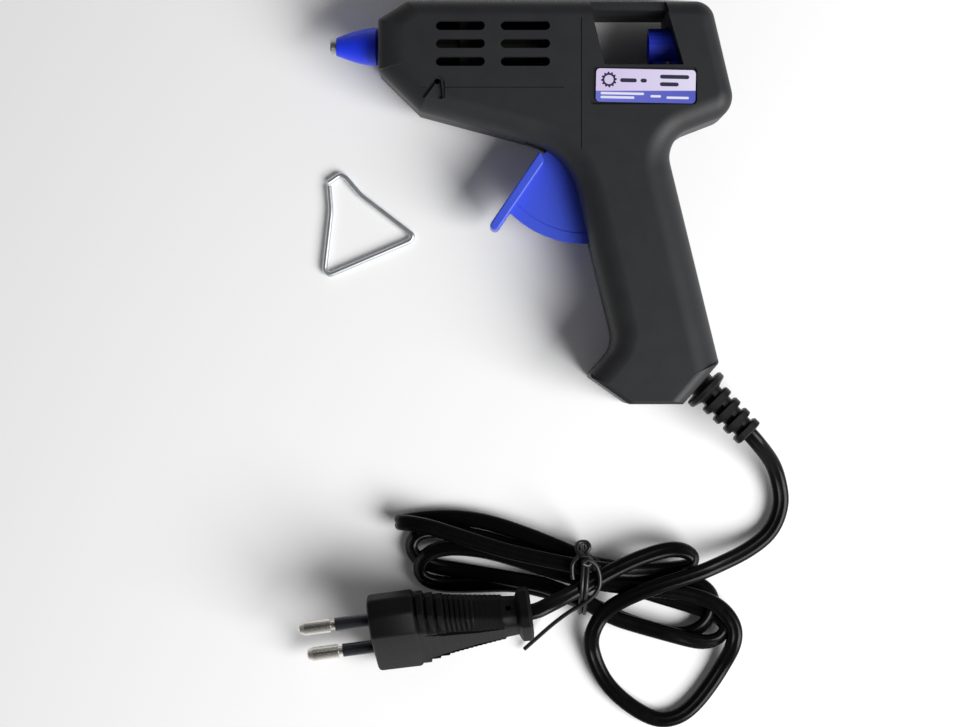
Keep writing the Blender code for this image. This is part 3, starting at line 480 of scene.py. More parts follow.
def prism(points: list[Point2], low: float, high: float) -> bpy.types.Object:
    """A cutter of constant plan."""
    return cutter([[place(x, y, z) for x, y in points] for z in (low, high)])


def rod(start: Point3, end: Point3, radius: float, count: int = 40) -> bpy.types.Object:
    """A round cutter between two points."""
    a, b = place(*start), place(*end)
    turn = (b - a).to_track_quat("Z", "Y").to_matrix()
    ring = [turn @ Vector((radius * MM * c, radius * MM * s, 0.0)) for c, s in circle(count)]
    return cutter([[a + p for p in ring], [b + p for p in ring]])


def stadium(centre: Point2, half: float, radius: float, tilt: float = 0.0, steps: int = 10) -> list:
    """A slot outline with round ends.

    Args:
        centre: its middle.
        half: half the straight length.
        radius: end radius.
        tilt: turn in degrees.
        steps: points per end.

    Returns:
        Plan points.
    """
    turn = Matrix.Rotation(math.radians(tilt), 2)
    found = []
    for side, start in ((1, 90.0), (-1, -90.0)):
        for n in range(steps + 1):
            t = math.radians(start - 180.0 * n / steps)
            local = Vector((side * half + radius * math.cos(t), radius * math.sin(t)))
            found.append(tuple(Vector(centre) + turn @ local))
    return found


def rounded_box(x0: float, x1: float, y0: float, y1: float, radius: float, tilt: float = 0.0) -> list:
    """A rectangle with round corners, as plan points."""
    centre = Vector(((x0 + x1) / 2, (y0 + y1) / 2))
    turn = Matrix.Rotation(math.radians(tilt), 2)
    found = []
    for sx, sy, start in ((1, 1, 90), (1, -1, 0), (-1, -1, -90), (-1, 1, -180)):
        middle = Vector((sx * ((x1 - x0) / 2 - radius), sy * ((y1 - y0) / 2 - radius)))
        for n in range(7):
            t = math.radians(start - 15 * n)
            found.append(tuple(centre + turn @ (middle + radius * Vector((math.cos(t), math.sin(t))))))
    return found


def boolean(target: bpy.types.Object, other: bpy.types.Object, operation: str = "DIFFERENCE") -> None:
    """Apply one exact Boolean and drop the other solid.

    Args:
        target: changed in place.
        other: the cutter or addition.
        operation: DIFFERENCE or UNION.
    """
    modifier = target.modifiers.new("cut", "BOOLEAN")
    modifier.operation = operation
    modifier.solver = "EXACT"
    modifier.object = other
    bpy.context.view_layer.update()
    graph = bpy.context.evaluated_depsgraph_get()
    made = bpy.data.meshes.new_from_object(target.evaluated_get(graph))
    target.modifiers.clear()
    target.data = made
    bpy.data.objects.remove(other, do_unlink=True)


def corner_loop(corners: list[Corner], share: float, inset: float = 0.0) -> list[tuple[float, float, float]]:
    """The filleted outline with every edge moved in by its own rounding.

    Args:
        corners: the outline's corners, clockwise.
        share: 0 at the side wall, 1 at the face.
        inset: extra distance inward all round.

    Returns:
        x, y and rounding depth for each point, the same count for every share.
    """
    count = len(corners)
    lines = []
    for n, here in enumerate(corners):
        after = corners[(n + 1) % count]
        way = Vector((after.x - here.x, after.y - here.y)).normalized()
        inward = Vector((way.y, -way.x)) * (here.edge * share + inset)
        lines.append((Vector((here.x, here.y)) + inward, way))
    loop = []
    for n, here in enumerate(corners):
        (p, d), (q, e) = lines[n - 1], lines[n]
        cross = d.x * e.y - d.y * e.x
        gap = q - p
        spot = p + d * ((gap.x * e.y - gap.y * e.x) / cross)
        turn = math.atan2(cross, d.dot(e))
        moved = (corners[n - 1].edge + here.edge) / 2 * share + inset
        radius = max(0.15, here.fillet - moved) if turn < 0 else here.fillet + moved
        back = radius * math.tan(abs(turn) / 2)
        centre = spot - d * back + Vector((d.y, -d.x)) * (radius if turn < 0 else -radius)
        first = spot - d * back - centre
        steps = 12
        for k in range(steps + 1):
            part = k / steps
            point = centre + Matrix.Rotation(turn * part, 2) @ first
            drop = corners[n - 1].drop * (1 - part) + here.drop * part
            loop.append((point.x, point.y, drop))
    return loop


@dataclass
class Housing:
    """The two moulded halves with their vents, window, label pocket and inner walls."""

    steps: int = 12

    def build(self) -> list[bpy.types.Object]:
        """Both halves.

        Returns:
            Left and right housing pieces.
        """
        halves = []
        for side in Side:
            half = self.shell(f"shell_{side.name.lower()}", side)
            for solid in self.cuts(side):
                boolean(half, solid)
            shade(half, 32, 80)
            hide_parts(f"housing_{side.name.lower()}")
            halves.append(half)
        return halves

    def loops(self, side: Side, inset: float, near: float, far: float, round_share: float) -> list:
        """Rings from the parting plane out over the rounded edge onto the side face."""
        sign = side.value
        rings = [[place(x, y, MID + sign * near) for x, y, _ in corner_loop(OUTLINE, 0.0, inset)]]
        for n in range(self.steps + 1):
            angle = math.pi / 2 * n / self.steps
            ring = corner_loop(OUTLINE, round_share * (1 - math.cos(angle)), inset)
            rings.append([place(x, y, MID + sign * (far - drop * round_share * (1 - math.sin(angle))))
                          for x, y, drop in ring])
        return rings

    def shell(self, name: str, side: Side) -> bpy.types.Object:
        """The solid half before it is hollowed."""
        bm = bmesh.new()
        skin(bm, self.loops(side, 0.0, PART_GAP, MID, 1.0))
        return finished(bm, name, HOUSING)

    def cuts(self, side: Side) -> list[bpy.types.Object]:
        """Everything taken out of one half, the hollow first."""
        sign = side.value
        found = [self.hollow(side)]
        found.append(prism(WINDOW, -2, WIDTH + 2))
        for x0, x1, y in VENTS:
            found.append(prism(stadium(((x0 + x1) / 2, y), (x1 - x0) / 2 - VENT_R, VENT_R), -2, WIDTH + 2))
        for x0, x1, radius in BORES:
            found.append(rod((x0, AXIS_Y, MID), (x1, AXIS_Y, MID), radius))
        found.append(prism([(28.4, 40.5), (44.4, 40.5), (44.4, 35.0), (28.4, 35.0)], MID - 3.2, MID + 3.2))
        back, out = GLAND - GLAND_WAY * 6, GLAND + GLAND_WAY * 6
        found.append(rod((*back, MID), (*out, MID), 4.3))
        found.append(self.trigger_gap())
        face = (MID + sign * (MID - 2.6), MID + sign * (MID + 2))
        found.append(prism([(15.6, 58.4), (36.6, 58.4), (38.2, 52.6), (17.0, 52.6)], *sorted(face)))
        outer = (MID + sign * (MID - 0.28), MID + sign * (MID + 1))
        for groove in self.grooves():
            found.append(prism(groove, *sorted(outer)))
        found += self.socket(side)
        if side is Side.LEFT:
            pocket = rounded_box(16.0, 45.9, 26.6, 37.0, 1.2)
            found.append(prism(pocket, WIDTH - 0.7, WIDTH + 1))
        else:
            for x, y in SCREWS:
                found.append(rod((x, y, COUNTERBORE_DEEP), (x, y, -1), COUNTERBORE_R))
        return found

    @staticmethod
    def grooves() -> list[list[Point2]]:
        """Thin moulding lines in the side face."""
        return [
            [(-32.8, 31.5), (8.6, 31.5), (8.6, 31.26), (-32.8, 31.26)],
            [(13.48, 50.9), (13.74, 50.9), (13.74, 14.1), (13.48, 14.1)],
        ]

    @staticmethod
    def trigger_gap() -> bpy.types.Object:
        """The way through the wall for the trigger's fan."""
        points = [PIVOT]
        for degrees in range(-52, -141, -4):
            angle = math.radians(degrees)
            points.append((PIVOT[0] + 31.5 * math.cos(angle), PIVOT[1] + 31.5 * math.sin(angle)))
        points += [(-1.8, 8.0), (-1.8, 18.6)]
        return prism(points, MID - 2.0, MID + 2.0)

    @staticmethod
    def levels(side: Side, deep: float) -> list[float]:
        """Heights from a depth under one side face to just past it."""
        return sorted((MID + side.value * (MID - deep), MID + side.value * (MID + 1)))

    @staticmethod
    def socket(side: Side) -> list[bpy.types.Object]:
        """The A-shaped socket for the wire stand: a shallow tent with two grooves and a hole."""
        tent = [(-27.4, 34.6), (-25.9, 34.6), (-24.5, 33.1), (-24.4, 28.4), (-26.7, 28.1), (-31.2, 28.5)]
        low, high = Housing.levels(side, 3.5)
        return [
            prism(tent, *Housing.levels(side, 0.45)),
            prism(stadium((-28.8, 31.2), 2.6, 0.62, 53.0), *Housing.levels(side, 1.2)),
            prism(stadium((-25.9, 30.9), 2.2, 0.62, 97.0), *Housing.levels(side, 1.2)),
            rod((-26.7, 33.1, low), (-26.7, 33.1, high), 0.8),
        ]

    def hollow(self, side: Side) -> bpy.types.Object:
        """The space inside one half, less the window's walls and the screw bosses."""
        sign = side.value
        inner = cutter(self.loops(side, WALL, -1.0, MID - WALL, 0.45))
        window = [(14.8, 54.6), (38.5, 54.6), (43.9, 36.5), (19.2, 36.5)]
        boolean(inner, prism(window, -2, WIDTH + 2))
        for x, y in SCREWS:
            boolean(inner, rod((x, y, -2), (x, y, WIDTH + 2), BOSS_R))
        ends = (MID + sign * 2.9, MID + sign * (MID + 2))
        boolean(inner, rod((*PIVOT, ends[0]), (*PIVOT, ends[1]), 3.4))
        return inner


def lathe(name: str, profile: list[Point2], start: Point3, way: Vector, finish: Finish,
          body: Body = Body.ROOT, count: int = 64, angle: float = 35.0) -> bpy.types.Object:
    """A turned piece from (distance along, radius) pairs.

    Args:
        name: piece name.
        profile: the half section; first and last alike make a bored ring.
        start: where the axis starts, in plan and height.
        way: axis direction.
        finish: its finish.
        body: what it rides on.
        count: points round.
        angle: sharp edge limit.

    Returns:
        The object.
    """
    turn = way.to_track_quat("Z", "Y").to_matrix()
    loops = []
    for along, radius in profile:
        loops.append([place(*start) + turn @ Vector((radius * MM * c, radius * MM * s, along * MM))
                      for c, s in circle(count)])
    bm = bmesh.new()
    closed = profile[0] == profile[-1]
    skin(bm, loops[:-1] if closed else loops, closed)
    return finished(bm, name, finish, body, angle)


def curve_points(route: list, steps: int) -> list[tuple]:
    """Catmull-Rom points through a route of equal-length tuples."""
    found = []
    last = len(route) - 1
    for n in range(last):
        p0, p1, p2, p3 = (route[min(max(n + k, 0), last)] for k in (-1, 0, 1, 2))
        for step in range(steps):
            t = step / steps
            found.append(tuple(
                0.5 * (2 * b + (c - a) * t + (2 * a - 5 * b + 4 * c - d) * t * t
                       + (3 * b - a - 3 * c + d) * t ** 3)
                for a, b, c, d in zip(p0, p1, p2, p3)))
    found.append(tuple(route[last]))
    return found


def relaxed(points: list[tuple], passes: int) -> list[tuple]:
    """Points eased toward their neighbours, with the ends held."""
    for _ in range(passes):
        points = [points[0]] + [
            tuple(0.25 * a + 0.5 * b + 0.25 * c for a, b, c in zip(points[n - 1], points[n], points[n + 1]))
            for n in range(1, len(points) - 1)] + [points[-1]]
    return points


@dataclass
class Gland:
    """Strain relief: flange, neck and four collars joined by side rails, with open slots."""

    origin: Vector = field(init=False)
    along: Vector = field(init=False)
    across: Vector = field(init=False)
    collars: int = 4
    pitch: float = 4.0

    def __post_init__(self) -> None:
        """Settle the axes at the handle's heel."""
        self.origin = Vector((*GLAND, MID))
        self.along = Vector((*GLAND_WAY, 0.0))
        self.across = Vector((-GLAND_WAY.y, GLAND_WAY.x, 0.0))

    def at(self, s: float, w: float, h: float) -> Vector:
        """A point in the gland's own axes: outward, across and up."""
        return place(*(self.origin + self.along * s + self.across * w + Vector((0, 0, 1)) * h))

    def ring(self, s: float, wide: float, high: float, power: float) -> list[Vector]:
        """A section: an ellipse where power is 1, squarer where it is less."""
        return [self.at(s, wide * math.copysign(abs(c) ** power, c), high * math.copysign(abs(d) ** power, d))
                for c, d in circle(40)]

    def build(self) -> bpy.types.Object:
        """The whole strain relief.

        Returns:
            The moulded piece.
        """
        body = [(-2.4, 3.9, 3.9, 1.0), (0.7, 3.9, 3.9, 1.0), (0.7, 6.0, 6.0, 1.0), (1.0, 6.4, 6.4, 1.0),
                (2.4, 6.4, 6.4, 1.0), (2.8, 5.9, 5.9, 1.0), (3.1, 4.6, 4.4, 0.8), (3.6, 3.4, 3.3, 0.7),
                (18.0, 3.0, 2.6, 0.7), (18.3, 2.7, 2.2, 0.8)]
        bm = bmesh.new()
        skin(bm, [self.ring(*r) for r in body])
        piece = finished(bm, "cord_boot", GLAND_BLACK)
        for n in range(self.collars):
            at, wide = 5.0 + self.pitch * n, 4.7 - 0.12 * n
            steps = ((0.0, 0.4), (0.3, 0.0), (2.0, 0.0), (2.3, 0.4))
            collar = [self.ring(at + s, wide - back, wide - 0.5 - back, 0.6) for s, back in steps]
            boolean(piece, cutter(collar), "UNION")
        for n in range(self.collars):
            for level in (1, -1):
                boolean(piece, self.slot(3.6 + self.pitch * n, level))
        shade(piece, 35)
        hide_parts("strain_relief")
        return piece

    def slot(self, start: float, level: int) -> bpy.types.Object:
        """The open way between two collars, above or below the neck's middle."""
        corners = ((0.0, -2.9), (1.5, -2.9), (1.5, 0.2), (0.0, 0.2))
        return cutter([[self.at(start + s, w, level * h) for s, w in corners] for h in (1.9, 4.9)])


class CordSet:
    """The mains cord, its gland, its tie and its plug."""

    def build(self) -> None:
        """Everything on the cord."""
        points = [self.rested(*p) for p in relaxed(curve_points(ROUTE, 6), 4)]
        cord = self.flat_cord("mains_flex", points)
        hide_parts("cord_lead", "cord_loop", "cord_tail", "cord_hank")
        Gland().build()
        tie = self.tie()
        plug = Plug().build()

    @staticmethod
    def rested(x: float, y: float, z: float, roll: float) -> tuple:
        """A route point on its sight line, lifted until the rolled cord clears the surface."""
        turn = math.radians(roll)
        half = CORD_WIDTH / 2 * abs(math.sin(turn)) + CORD_THICK / 2 * abs(math.cos(turn))
        return (*laid(x, y, max(z, half + 0.05)), roll)

    @staticmethod
    def flat_cord(name: str, points: list[tuple]) -> bpy.types.Object:
        """A twin flex with a groove between its cores, swept along the route."""
        profile = []
        for c, s in circle(28):
            wide = CORD_WIDTH / 2 * math.copysign(abs(c) ** 0.9, c)
            waist = 1 - 0.17 * math.exp(-((wide / 0.55) ** 2))
            round_end = math.copysign(abs(s) ** 0.72, s)
            profile.append((wide, CORD_THICK / 2 * round_end * waist))
        spots = [place(x, y, z) for x, y, z, _ in points]
        side = Vector((0, 1, 0))
        loops = []
        for n, spot in enumerate(spots):
            way = (spots[min(n + 1, len(spots) - 1)] - spots[max(n - 1, 0)]).normalized()
            flat = Vector((0, 0, 1)).cross(way)
            if flat.length > 0.12:
                side = flat.normalized()
            up = way.cross(side).normalized()
            side = up.cross(way).normalized()
            roll = math.radians(points[n][3])
            wide = side * math.cos(roll) + up * math.sin(roll)
            thin = way.cross(wide)
            loops.append([spot + (wide * w + thin * t) * MM for w, t in profile])
        bm = bmesh.new()
        skin(bm, loops)
        return finished(bm, name, CORD, angle=60)

    @staticmethod
    def tie() -> bpy.types.Object:
        """A vinyl-covered wire round the bundle, twisted on top, with its two tails."""
        band = [(14.6, -98.2, 4.0), (14.6, -98.0, 7.2), (14.8, -100.4, 10.4), (14.8, -104.0, 11.6),
                (14.4, -110.0, 12.0), (14.2, -115.4, 8.2), (14.2, -117.6, 4.6), (14.2, -117.0, 1.2),
                (14.2, -112.0, 0.75), (14.4, -105.0, 0.75), (14.6, -99.6, 0.8), (14.6, -98.3, 2.0),
                (14.6, -98.1, 5.0)]
        second = [(x + 1.3, y - 0.2, z + 0.1) for x, y, z in band[:10]]
        knot = [(15.2, -100.2, 11.2), (16.6, -98.4, 11.6), (15.8, -96.9, 11.0), (13.6, -97.0, 11.2),
                (12.9, -98.8, 12.0), (14.2, -100.4, 12.6), (16.0, -100.8, 12.6), (17.2, -102.0, 12.4),
                (16.2, -103.4, 12.4), (14.6, -102.8, 12.9)]
        tail_a = [(14.6, -102.8, 12.9), (16.2, -101.8, 13.1), (18.6, -103.6, 12.6), (19.6, -107.2, 12.0),
                  (19.0, -110.6, 11.4), (16.0, -113.8, 10.6), (11.0, -117.0, 9.0), (6.6, -120.6, 6.4),
                  (2.4, -124.6, 3.6), (-1.8, -128.6, 1.6)]
        tail_b = [(13.4, -100.8, 12.4), (11.8, -103.0, 11.6), (11.7, -106.0, 11.3), (12.0, -107.4, 10.9)]
        bm = bmesh.new()
        for path in (band, second, knot, tail_a, tail_b):
            CordSet.strand(bm, path, 0.62)
        piece = finished(bm, "wire_tie", TIE, angle=60)
        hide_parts("cord_tie")
        return piece

    @staticmethod
    def strand(bm: bmesh.types.BMesh, route: list[Point3], radius: float) -> None:
        """A round strand through route points, added to a mesh."""
        spots = [place(*p) for p in curve_points(route, 6)]
        side = Vector((0.3, 0.2, 1.0)).normalized()
        loops = []
        for n, spot in enumerate(spots):
            way = (spots[min(n + 1, len(spots) - 1)] - spots[max(n - 1, 0)]).normalized()
            side = (side - way * side.dot(way)).normalized()
            other = way.cross(side)
            loops.append([spot + (side * c + other * s) * radius * MM for c, s in circle(12)])
        skin(bm, loops)


@dataclass
class Plug:
    """The two-pin plug: faceted head, ribbed grip and tail flange."""

    turn: Matrix = field(init=False)

    def __post_init__(self) -> None:
        """Settle the axes: the tail's way, the pin line and the direction through both."""
        flat = Vector((-PLUG_WAY.y, PLUG_WAY.x, 0.0))
        across = flat * math.cos(PLUG_ROLL) + Vector((0, 0, 1)) * math.sin(PLUG_ROLL)
        self.turn = Matrix((PLUG_WAY, across, PLUG_WAY.cross(across))).transposed()

    def at(self, s: float, w: float, t: float) -> Vector:
        """A point in the plug's own axes: along to the tail, along the pin line, through it."""
        return place(*(PLUG_BASE + self.turn @ Vector((s, w, t))))

    def ring(self, s: float, wide: float, thin: float, bevel_w: float, bevel_t: float,
             upper: float = 0.0, lower: float = 0.0) -> list[Vector]:
        """An eight-sided section with softened corners and a rib step on either narrow edge."""
        w, v, t, flat = wide + upper, wide + lower, thin, wide - bevel_w
        corners = [(w, t - bevel_t), (flat, t), (-flat, t), (-v, t - bevel_t),
                   (-v, -(t - bevel_t)), (-flat, -t), (flat, -t), (w, -(t - bevel_t))]
        found = []
        count = len(corners)
        for n, (x, y) in enumerate(corners):
            px, py = corners[n - 1]
            nx, ny = corners[(n + 1) % count]
            back = min(0.9, 0.42 * math.hypot(px - x, py - y)) / max(math.hypot(px - x, py - y), 1e-6)
            ahead = min(0.9, 0.42 * math.hypot(nx - x, ny - y)) / max(math.hypot(nx - x, ny - y), 1e-6)
            a = Vector((x + (px - x) * back, y + (py - y) * back))
            b = Vector((x, y))
            c = Vector((x + (nx - x) * ahead, y + (ny - y) * ahead))
            for k in range(5):
                q = k / 4
                point = a * (1 - q) ** 2 + b * 2 * q * (1 - q) + c * q * q
                found.append(self.at(s, point.x, point.y))
        return found

    def build(self) -> bpy.types.Object:
        """The whole plug body.

        Returns:
            The plug's moulded body.
        """
        head = [(0.0, 15.6, 6.0), (0.35, 16.3, 6.6), (1.0, 16.6, 6.85), (12.2, 16.8, 6.85),
                (12.8, 16.4, 6.7)]
        loops = [self.ring(s, w, t, 4.8, 4.2) for s, w, t in head]
        s = 13.1
        while s < 37.2:
            part = (s - 13.1) / 24.1
            wide = 15.4 - 9.6 * part ** 0.72
            thin = 6.6 - 1.4 * part
            pitch = 2.7 if s < 21.0 else 1.35
            depth = 0.55 if s < 21.0 else 0.36
            bevel = 4.6 * (1 - part) + 1.6 * part
            fade = max(0.0, min(1.0, (29.0 - s) / 7.0))
            for share, way in ((0.0, -1), (0.14, -1), (0.26, 1), (0.78, 1), (0.9, -1)):
                step = way * depth
                loops.append(self.ring(s + share * pitch, wide, thin, bevel, 3.4 - 1.0 * part,
                                       step * fade, step * min(1.0, fade + 0.5)))
            s += pitch
        for at, w, t in ((37.8, 5.8, 5.0), (41.3, 5.5, 4.8), (41.8, 6.6, 5.6), (42.4, 7.3, 6.3),
                         (44.6, 7.4, 6.4), (45.4, 6.8, 5.8), (45.6, 5.6, 4.8)):
            loops.append(self.ring(at, w, t, 2.2, 2.2))
        bm = bmesh.new()
        skin(bm, loops)
        body = finished(bm, "plug_moulding", PLUG, angle=40)
        self.panels(body)
        for side in (1, -1):
            boolean(body, self.bore(self.at(3.0, side * 9.3, 0), self.at(-1.5, side * 9.3, 0), 2.2))
        shade(body, 38)
        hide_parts("plug_body")
        return body

    def bore(self, a: Vector, b: Vector, radius: float) -> bpy.types.Object:
        """A round cutter between two points already in metres."""
        turn = (b - a).to_track_quat("Z", "Y").to_matrix()
        ring = [turn @ Vector((radius * MM * c, radius * MM * s, 0.0)) for c, s in circle(32)]
        return cutter([[a + p for p in ring], [b + p for p in ring]])

    def panels(self, body: bpy.types.Object) -> None:
        """The scooped hollows either side of each broad face and the small eye near the tail."""
        for side in (1, -1):
            for edge in (1, -1):
                outline = [(14.5, 8.4), (20.0, 8.0), (30.0, 5.2), (39.5, 3.6), (39.5, 2.9), (30.0, 3.8),
                           (20.0, 6.2)]
                points = [(s, edge * w) for s, w in outline]
                levels = (side * 5.0, side * 9.0)
                boolean(body, cutter([[self.at(s, w, t) for s, w in points] for t in levels]))
        for side in (1, -1):
            eye = [(38.4, 0.8), (39.9, 0.8), (39.9, -0.8), (38.4, -0.8)]
            boolean(body, cutter([[self.at(s, side * w, t) for s, t in eye] for w in (3.4, 9.0)]))


class Trigger:
    """The blue trigger: fan with its raised rim, finger plate, hub and drive arm."""

    def build(self) -> bpy.types.Object:
        """One moulding.

        Returns:
            The trigger piece.
        """
        bm = bmesh.new()
        skin(bm, [[place(x, y, z) for x, y in self.fan()] for z in (MID - 1.45, MID + 1.45)])
        piece = finished(bm, "trigger_moulding", BLUE, Body.TRIGGER)
        rim = self.sector(27.7, FAN_R, -80, -136)
        boolean(piece, prism(rim, MID - 1.6, MID + 1.6), "UNION")
        for level in (MID + 1.25, MID - 2.25):
            boolean(piece, prism(self.sector(27.35, 27.7, -79, -138), level, level + 1.0))
        boolean(piece, self.plate(), "UNION")
        arm = stadium((19.7, 25.225), 7.6, 2.5, math.degrees(math.atan2(12.55, 8.6)))
        boolean(piece, prism(arm, MID - 1.5, MID + 1.5), "UNION")
        boolean(piece, rod((*PIVOT, MID - 2.5), (*PIVOT, MID + 2.5), 4.6, 48), "UNION")
        boolean(piece, rod((*PIVOT, -5), (*PIVOT, 40), 1.8))
        boolean(piece, rod((24.0, 31.5, -5), (24.0, 31.5, 40), 1.8))
        shade(piece, 34, 50)
        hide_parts("trigger")
        return piece

    @staticmethod
    def sector(inner: float, outer: float, first: int, last: int) -> list[Point2]:
        """Part of a ring about the pivot."""
        angles = [math.radians(a) for a in range(first, last - 1, -2)]
        out = [(PIVOT[0] + outer * math.cos(a), PIVOT[1] + outer * math.sin(a)) for a in angles]
        back = [(PIVOT[0] + inner * math.cos(a), PIVOT[1] + inner * math.sin(a)) for a in reversed(angles)]
        return out + back

    def fan(self) -> list[Point2]:
        """The web's outline from the hub out to the rim and back along the finger plate."""
        rim = [(PIVOT[0] + FAN_R * math.cos(math.radians(a)), PIVOT[1] + FAN_R * math.sin(math.radians(a)))
               for a in range(-80, -137, -2)]
        return [(18.4, 16.95)] + rim + [(-9.6, -5.0), (2.6, 13.2), (12.6, 20.6)]

    @staticmethod
    def plate() -> bpy.types.Object:
        """The finger plate: even in thickness, with softly rounded edges."""
        loops = []
        for side, order in ((-1, range(6, -1, -1)), (1, range(7))):
            for n in order:
                angle = math.pi / 2 * n / 6
                ring = corner_loop(FINGER_PLATE, 1 - math.cos(angle))
                loops.append([place(x, y, MID + side * (6.5 - drop * (1 - math.sin(angle))))
                              for x, y, drop in ring])
        return cutter(loops)


class Nose:
    """The nozzle's silicone sleeve and its turned tip."""

    def build(self) -> None:
        """Both pieces."""
        sleeve = [(0.0, 2.3), (0.0, 2.5), (0.15, 2.62), (1.2, 3.0), (3.0, 3.65), (5.0, 4.3), (7.0, 4.85),
                  (9.0, 5.2), (10.8, 5.35), (11.2, 5.4), (11.5, 5.32), (11.7, 5.1), (11.7, 4.55),
                  (14.3, 4.55), (14.3, 2.35), (0.0, 2.3)]
        piece = lathe("nozzle_cover", sleeve, (-55.6, AXIS_Y, MID), Vector((1, 0, 0)), NOZZLE)
        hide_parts("nozzle_sleeve")
        tip = [(0.0, 0.8), (0.0, 1.75), (0.12, 1.95), (0.35, 2.08), (0.7, 2.12), (0.78, 2.0), (0.95, 2.0),
               (1.03, 2.12), (1.5, 2.12), (1.5, 2.05), (16.4, 2.05), (16.4, 3.6), (17.2, 3.6),
               (17.2, 1.6), (14.0, 0.8), (0.0, 0.8)]
        end = lathe("nozzle_point", tip, (-57.4, AXIS_Y, MID), Vector((1, 0, 0)), ALUMINIUM, angle=25)
        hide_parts("nozzle_tip")
        collar = [(0.0, 4.75), (0.0, 5.55), (0.25, 5.6), (0.5, 5.6), (0.5, 4.75), (0.0, 4.75)]
        lathe("nozzle_collar", collar, (-43.7, AXIS_Y, MID), Vector((1, 0, 0)), GLAND_BLACK)


@dataclass
class Label:
    """The rating label, with plain bars and rings in place of any wording."""

    tilt: float = -1.2

    def build(self) -> None:
        """The film and its two inks."""
        bm = bmesh.new()
        outline = rounded_box(17.7, 45.5, 27.1, 36.4, 1.1, self.tilt)
        skin(bm, [[place(x, y, z) for x, y in outline] for z in (WIDTH - 0.38, WIDTH - 0.12)])
        film = finished(bm, "label_film", PRINT)
        film.data.materials.clear()
        film.data.materials.append(SHADER.label())
        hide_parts("rating_label")
        dark = [(24.4, 29.1, 33.2), (30.1, 31.9, 33.2), (35.5, 43.7, 34.4), (35.5, 40.8, 32.3)]
        pale = [(19.0, 31.2, 29.5), (19.0, 28.5, 28.4), (32.9, 35.9, 28.9), (37.4, 43.7, 28.6)]
        self.ink("label_marks", dark, PRINT, 0.55, rings=[(21.3, 33.3, 1.8)])
        self.ink("label_fine_marks", pale, PALE_INK, 0.34, rings=[])

    def ink(self, name: str, bars: list, finish: Finish, half: float, rings: list) -> None:
        """Bars and toothed rings laid a hair above the film."""
        centre = Vector((31.6, 31.75))
        turn = Matrix.Rotation(math.radians(self.tilt), 2)
        bm = bmesh.new()
        for x0, x1, y in bars:
            points = stadium(((x0 + x1) / 2, y), (x1 - x0) / 2 - half, half * 0.98, steps=5)
            skin(bm, [[place(*self.lay(p, centre, turn), z) for p in points]
                      for z in INK_LEVELS])
        for x, y, radius in rings:
            self.cog(bm, Vector((x, y)), radius, centre, turn)
        piece = finished(bm, name, finish, merge=1e-8)

    @staticmethod
    def lay(point: Point2, centre: Vector, turn: Matrix) -> tuple[float, float]:
        """The point turned with the crooked label."""
        return tuple(centre + turn @ (Vector(point) - centre))

    def cog(self, bm: bmesh.types.BMesh, at: Vector, radius: float, centre: Vector, turn: Matrix) -> None:
        """A plain toothed ring."""
        outer, inner = [], []
        for n in range(72):
            t = 2 * math.pi * n / 72
            tooth = 0.38 if n % 6 < 3 else 0.0
            outer.append(tuple(at + (radius + tooth) * Vector((math.cos(t), math.sin(t)))))
            inner.append(tuple(at + radius * 0.72 * Vector((math.cos(t), math.sin(t)))))
        loops = [[place(*self.lay(p, centre, turn), z) for p in ring]
                 for ring, z in zip((outer, outer, inner, inner), INK_LEVELS + INK_LEVELS[::-1])]
        skin(bm, loops, closed=True)


class CarriedOver:
    """CAD nodes that keep their shape and take a procedural finish."""

    finishes = {
        "plated_steel": STEEL, "cast_aluminium": ALUMINIUM, "heater_ceramic": CERAMIC,
        "inlet_silicone": SILICONE, "live_insulation": BROWN, "neutral_insulation": SKY,
        "trigger_blue": CARRIAGE_BLUE, "housing_black": HOUSING, "cord_black": GLAND_BLACK,
        "pin_nickel": NICKEL, "nozzle_blue": NOZZLE, "label_film": PRINT,
    }
    # The melt chamber, heater clip, inlet clamp and inlet sleeve take painted shade: dark colours for the
    # shade inside the housing.
    special = {
        "pin_sleeve_1": SLEEVE, "pin_sleeve_2": SLEEVE, "melt_chamber": SHADE_DARKENED_METAL,
        "heater_clip": SHADE_DARKENED_METAL, "inlet_clamp": SHADE_DARKENED_METAL, "inlet_sleeve": SHADE_DARKENED_INLET,
    }

    def build(self, frame: dict) -> None:
        """Give every node its finish.
        """
        slots = {part["node"]: part["material_slot"] for part in frame["record"]["subparts"]}
        for name, node in frame["nodes"].items():
            finish = self.special.get(name, self.finishes[slots[name]])
            if not node.material_slots:
                node.data.materials.append(None)
            for holder in node.material_slots:
                holder.material = SHADER.get(finish)
        spring = frame["nodes"]["return_spring"]
        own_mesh(spring)


@dataclass
class WireStand:
    """The loose stand: one bent wire with rounded corners."""

    radius: float = 0.75

    def build(self) -> bpy.types.Object:
        """The stand, lying flat.

        Returns:
            The wire piece.
        """
        spots = [Vector(laid(x, y, self.radius)) for x, y in STAND_ROUTE]
        path = self.bent(spots)
        bm = bmesh.new()
        up = Vector((0, 0, 1))
        loops = []
        for n, spot in enumerate(path):
            way = (path[min(n + 1, len(path) - 1)] - path[max(n - 1, 0)]).normalized()
            side = up.cross(way).normalized()
            loops.append([place(*(spot + (side * c + up * s) * self.radius)) for c, s in circle(20)])
        skin(bm, loops)
        piece = finished(bm, "stand_wire", STEEL, Body.STAND, angle=60)
        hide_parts("wire_stand")
        return piece

    @staticmethod
    def bent(spots: list[Vector]) -> list[Vector]:
        """Corners turned into short bends."""
        path = [spots[0]]
        for before, here, after in zip(spots, spots[1:], spots[2:]):
            back, ahead = before - here, after - here
            reach = min(1.6, 0.42 * back.length, 0.42 * ahead.length)
            a, c = here + back.normalized() * reach, here + ahead.normalized() * reach
            for k in range(7):
                q = k / 6
                path.append(a * (1 - q) ** 2 + here * 2 * q * (1 - q) + c * q * q)
        path.append(spots[-1])
        return path


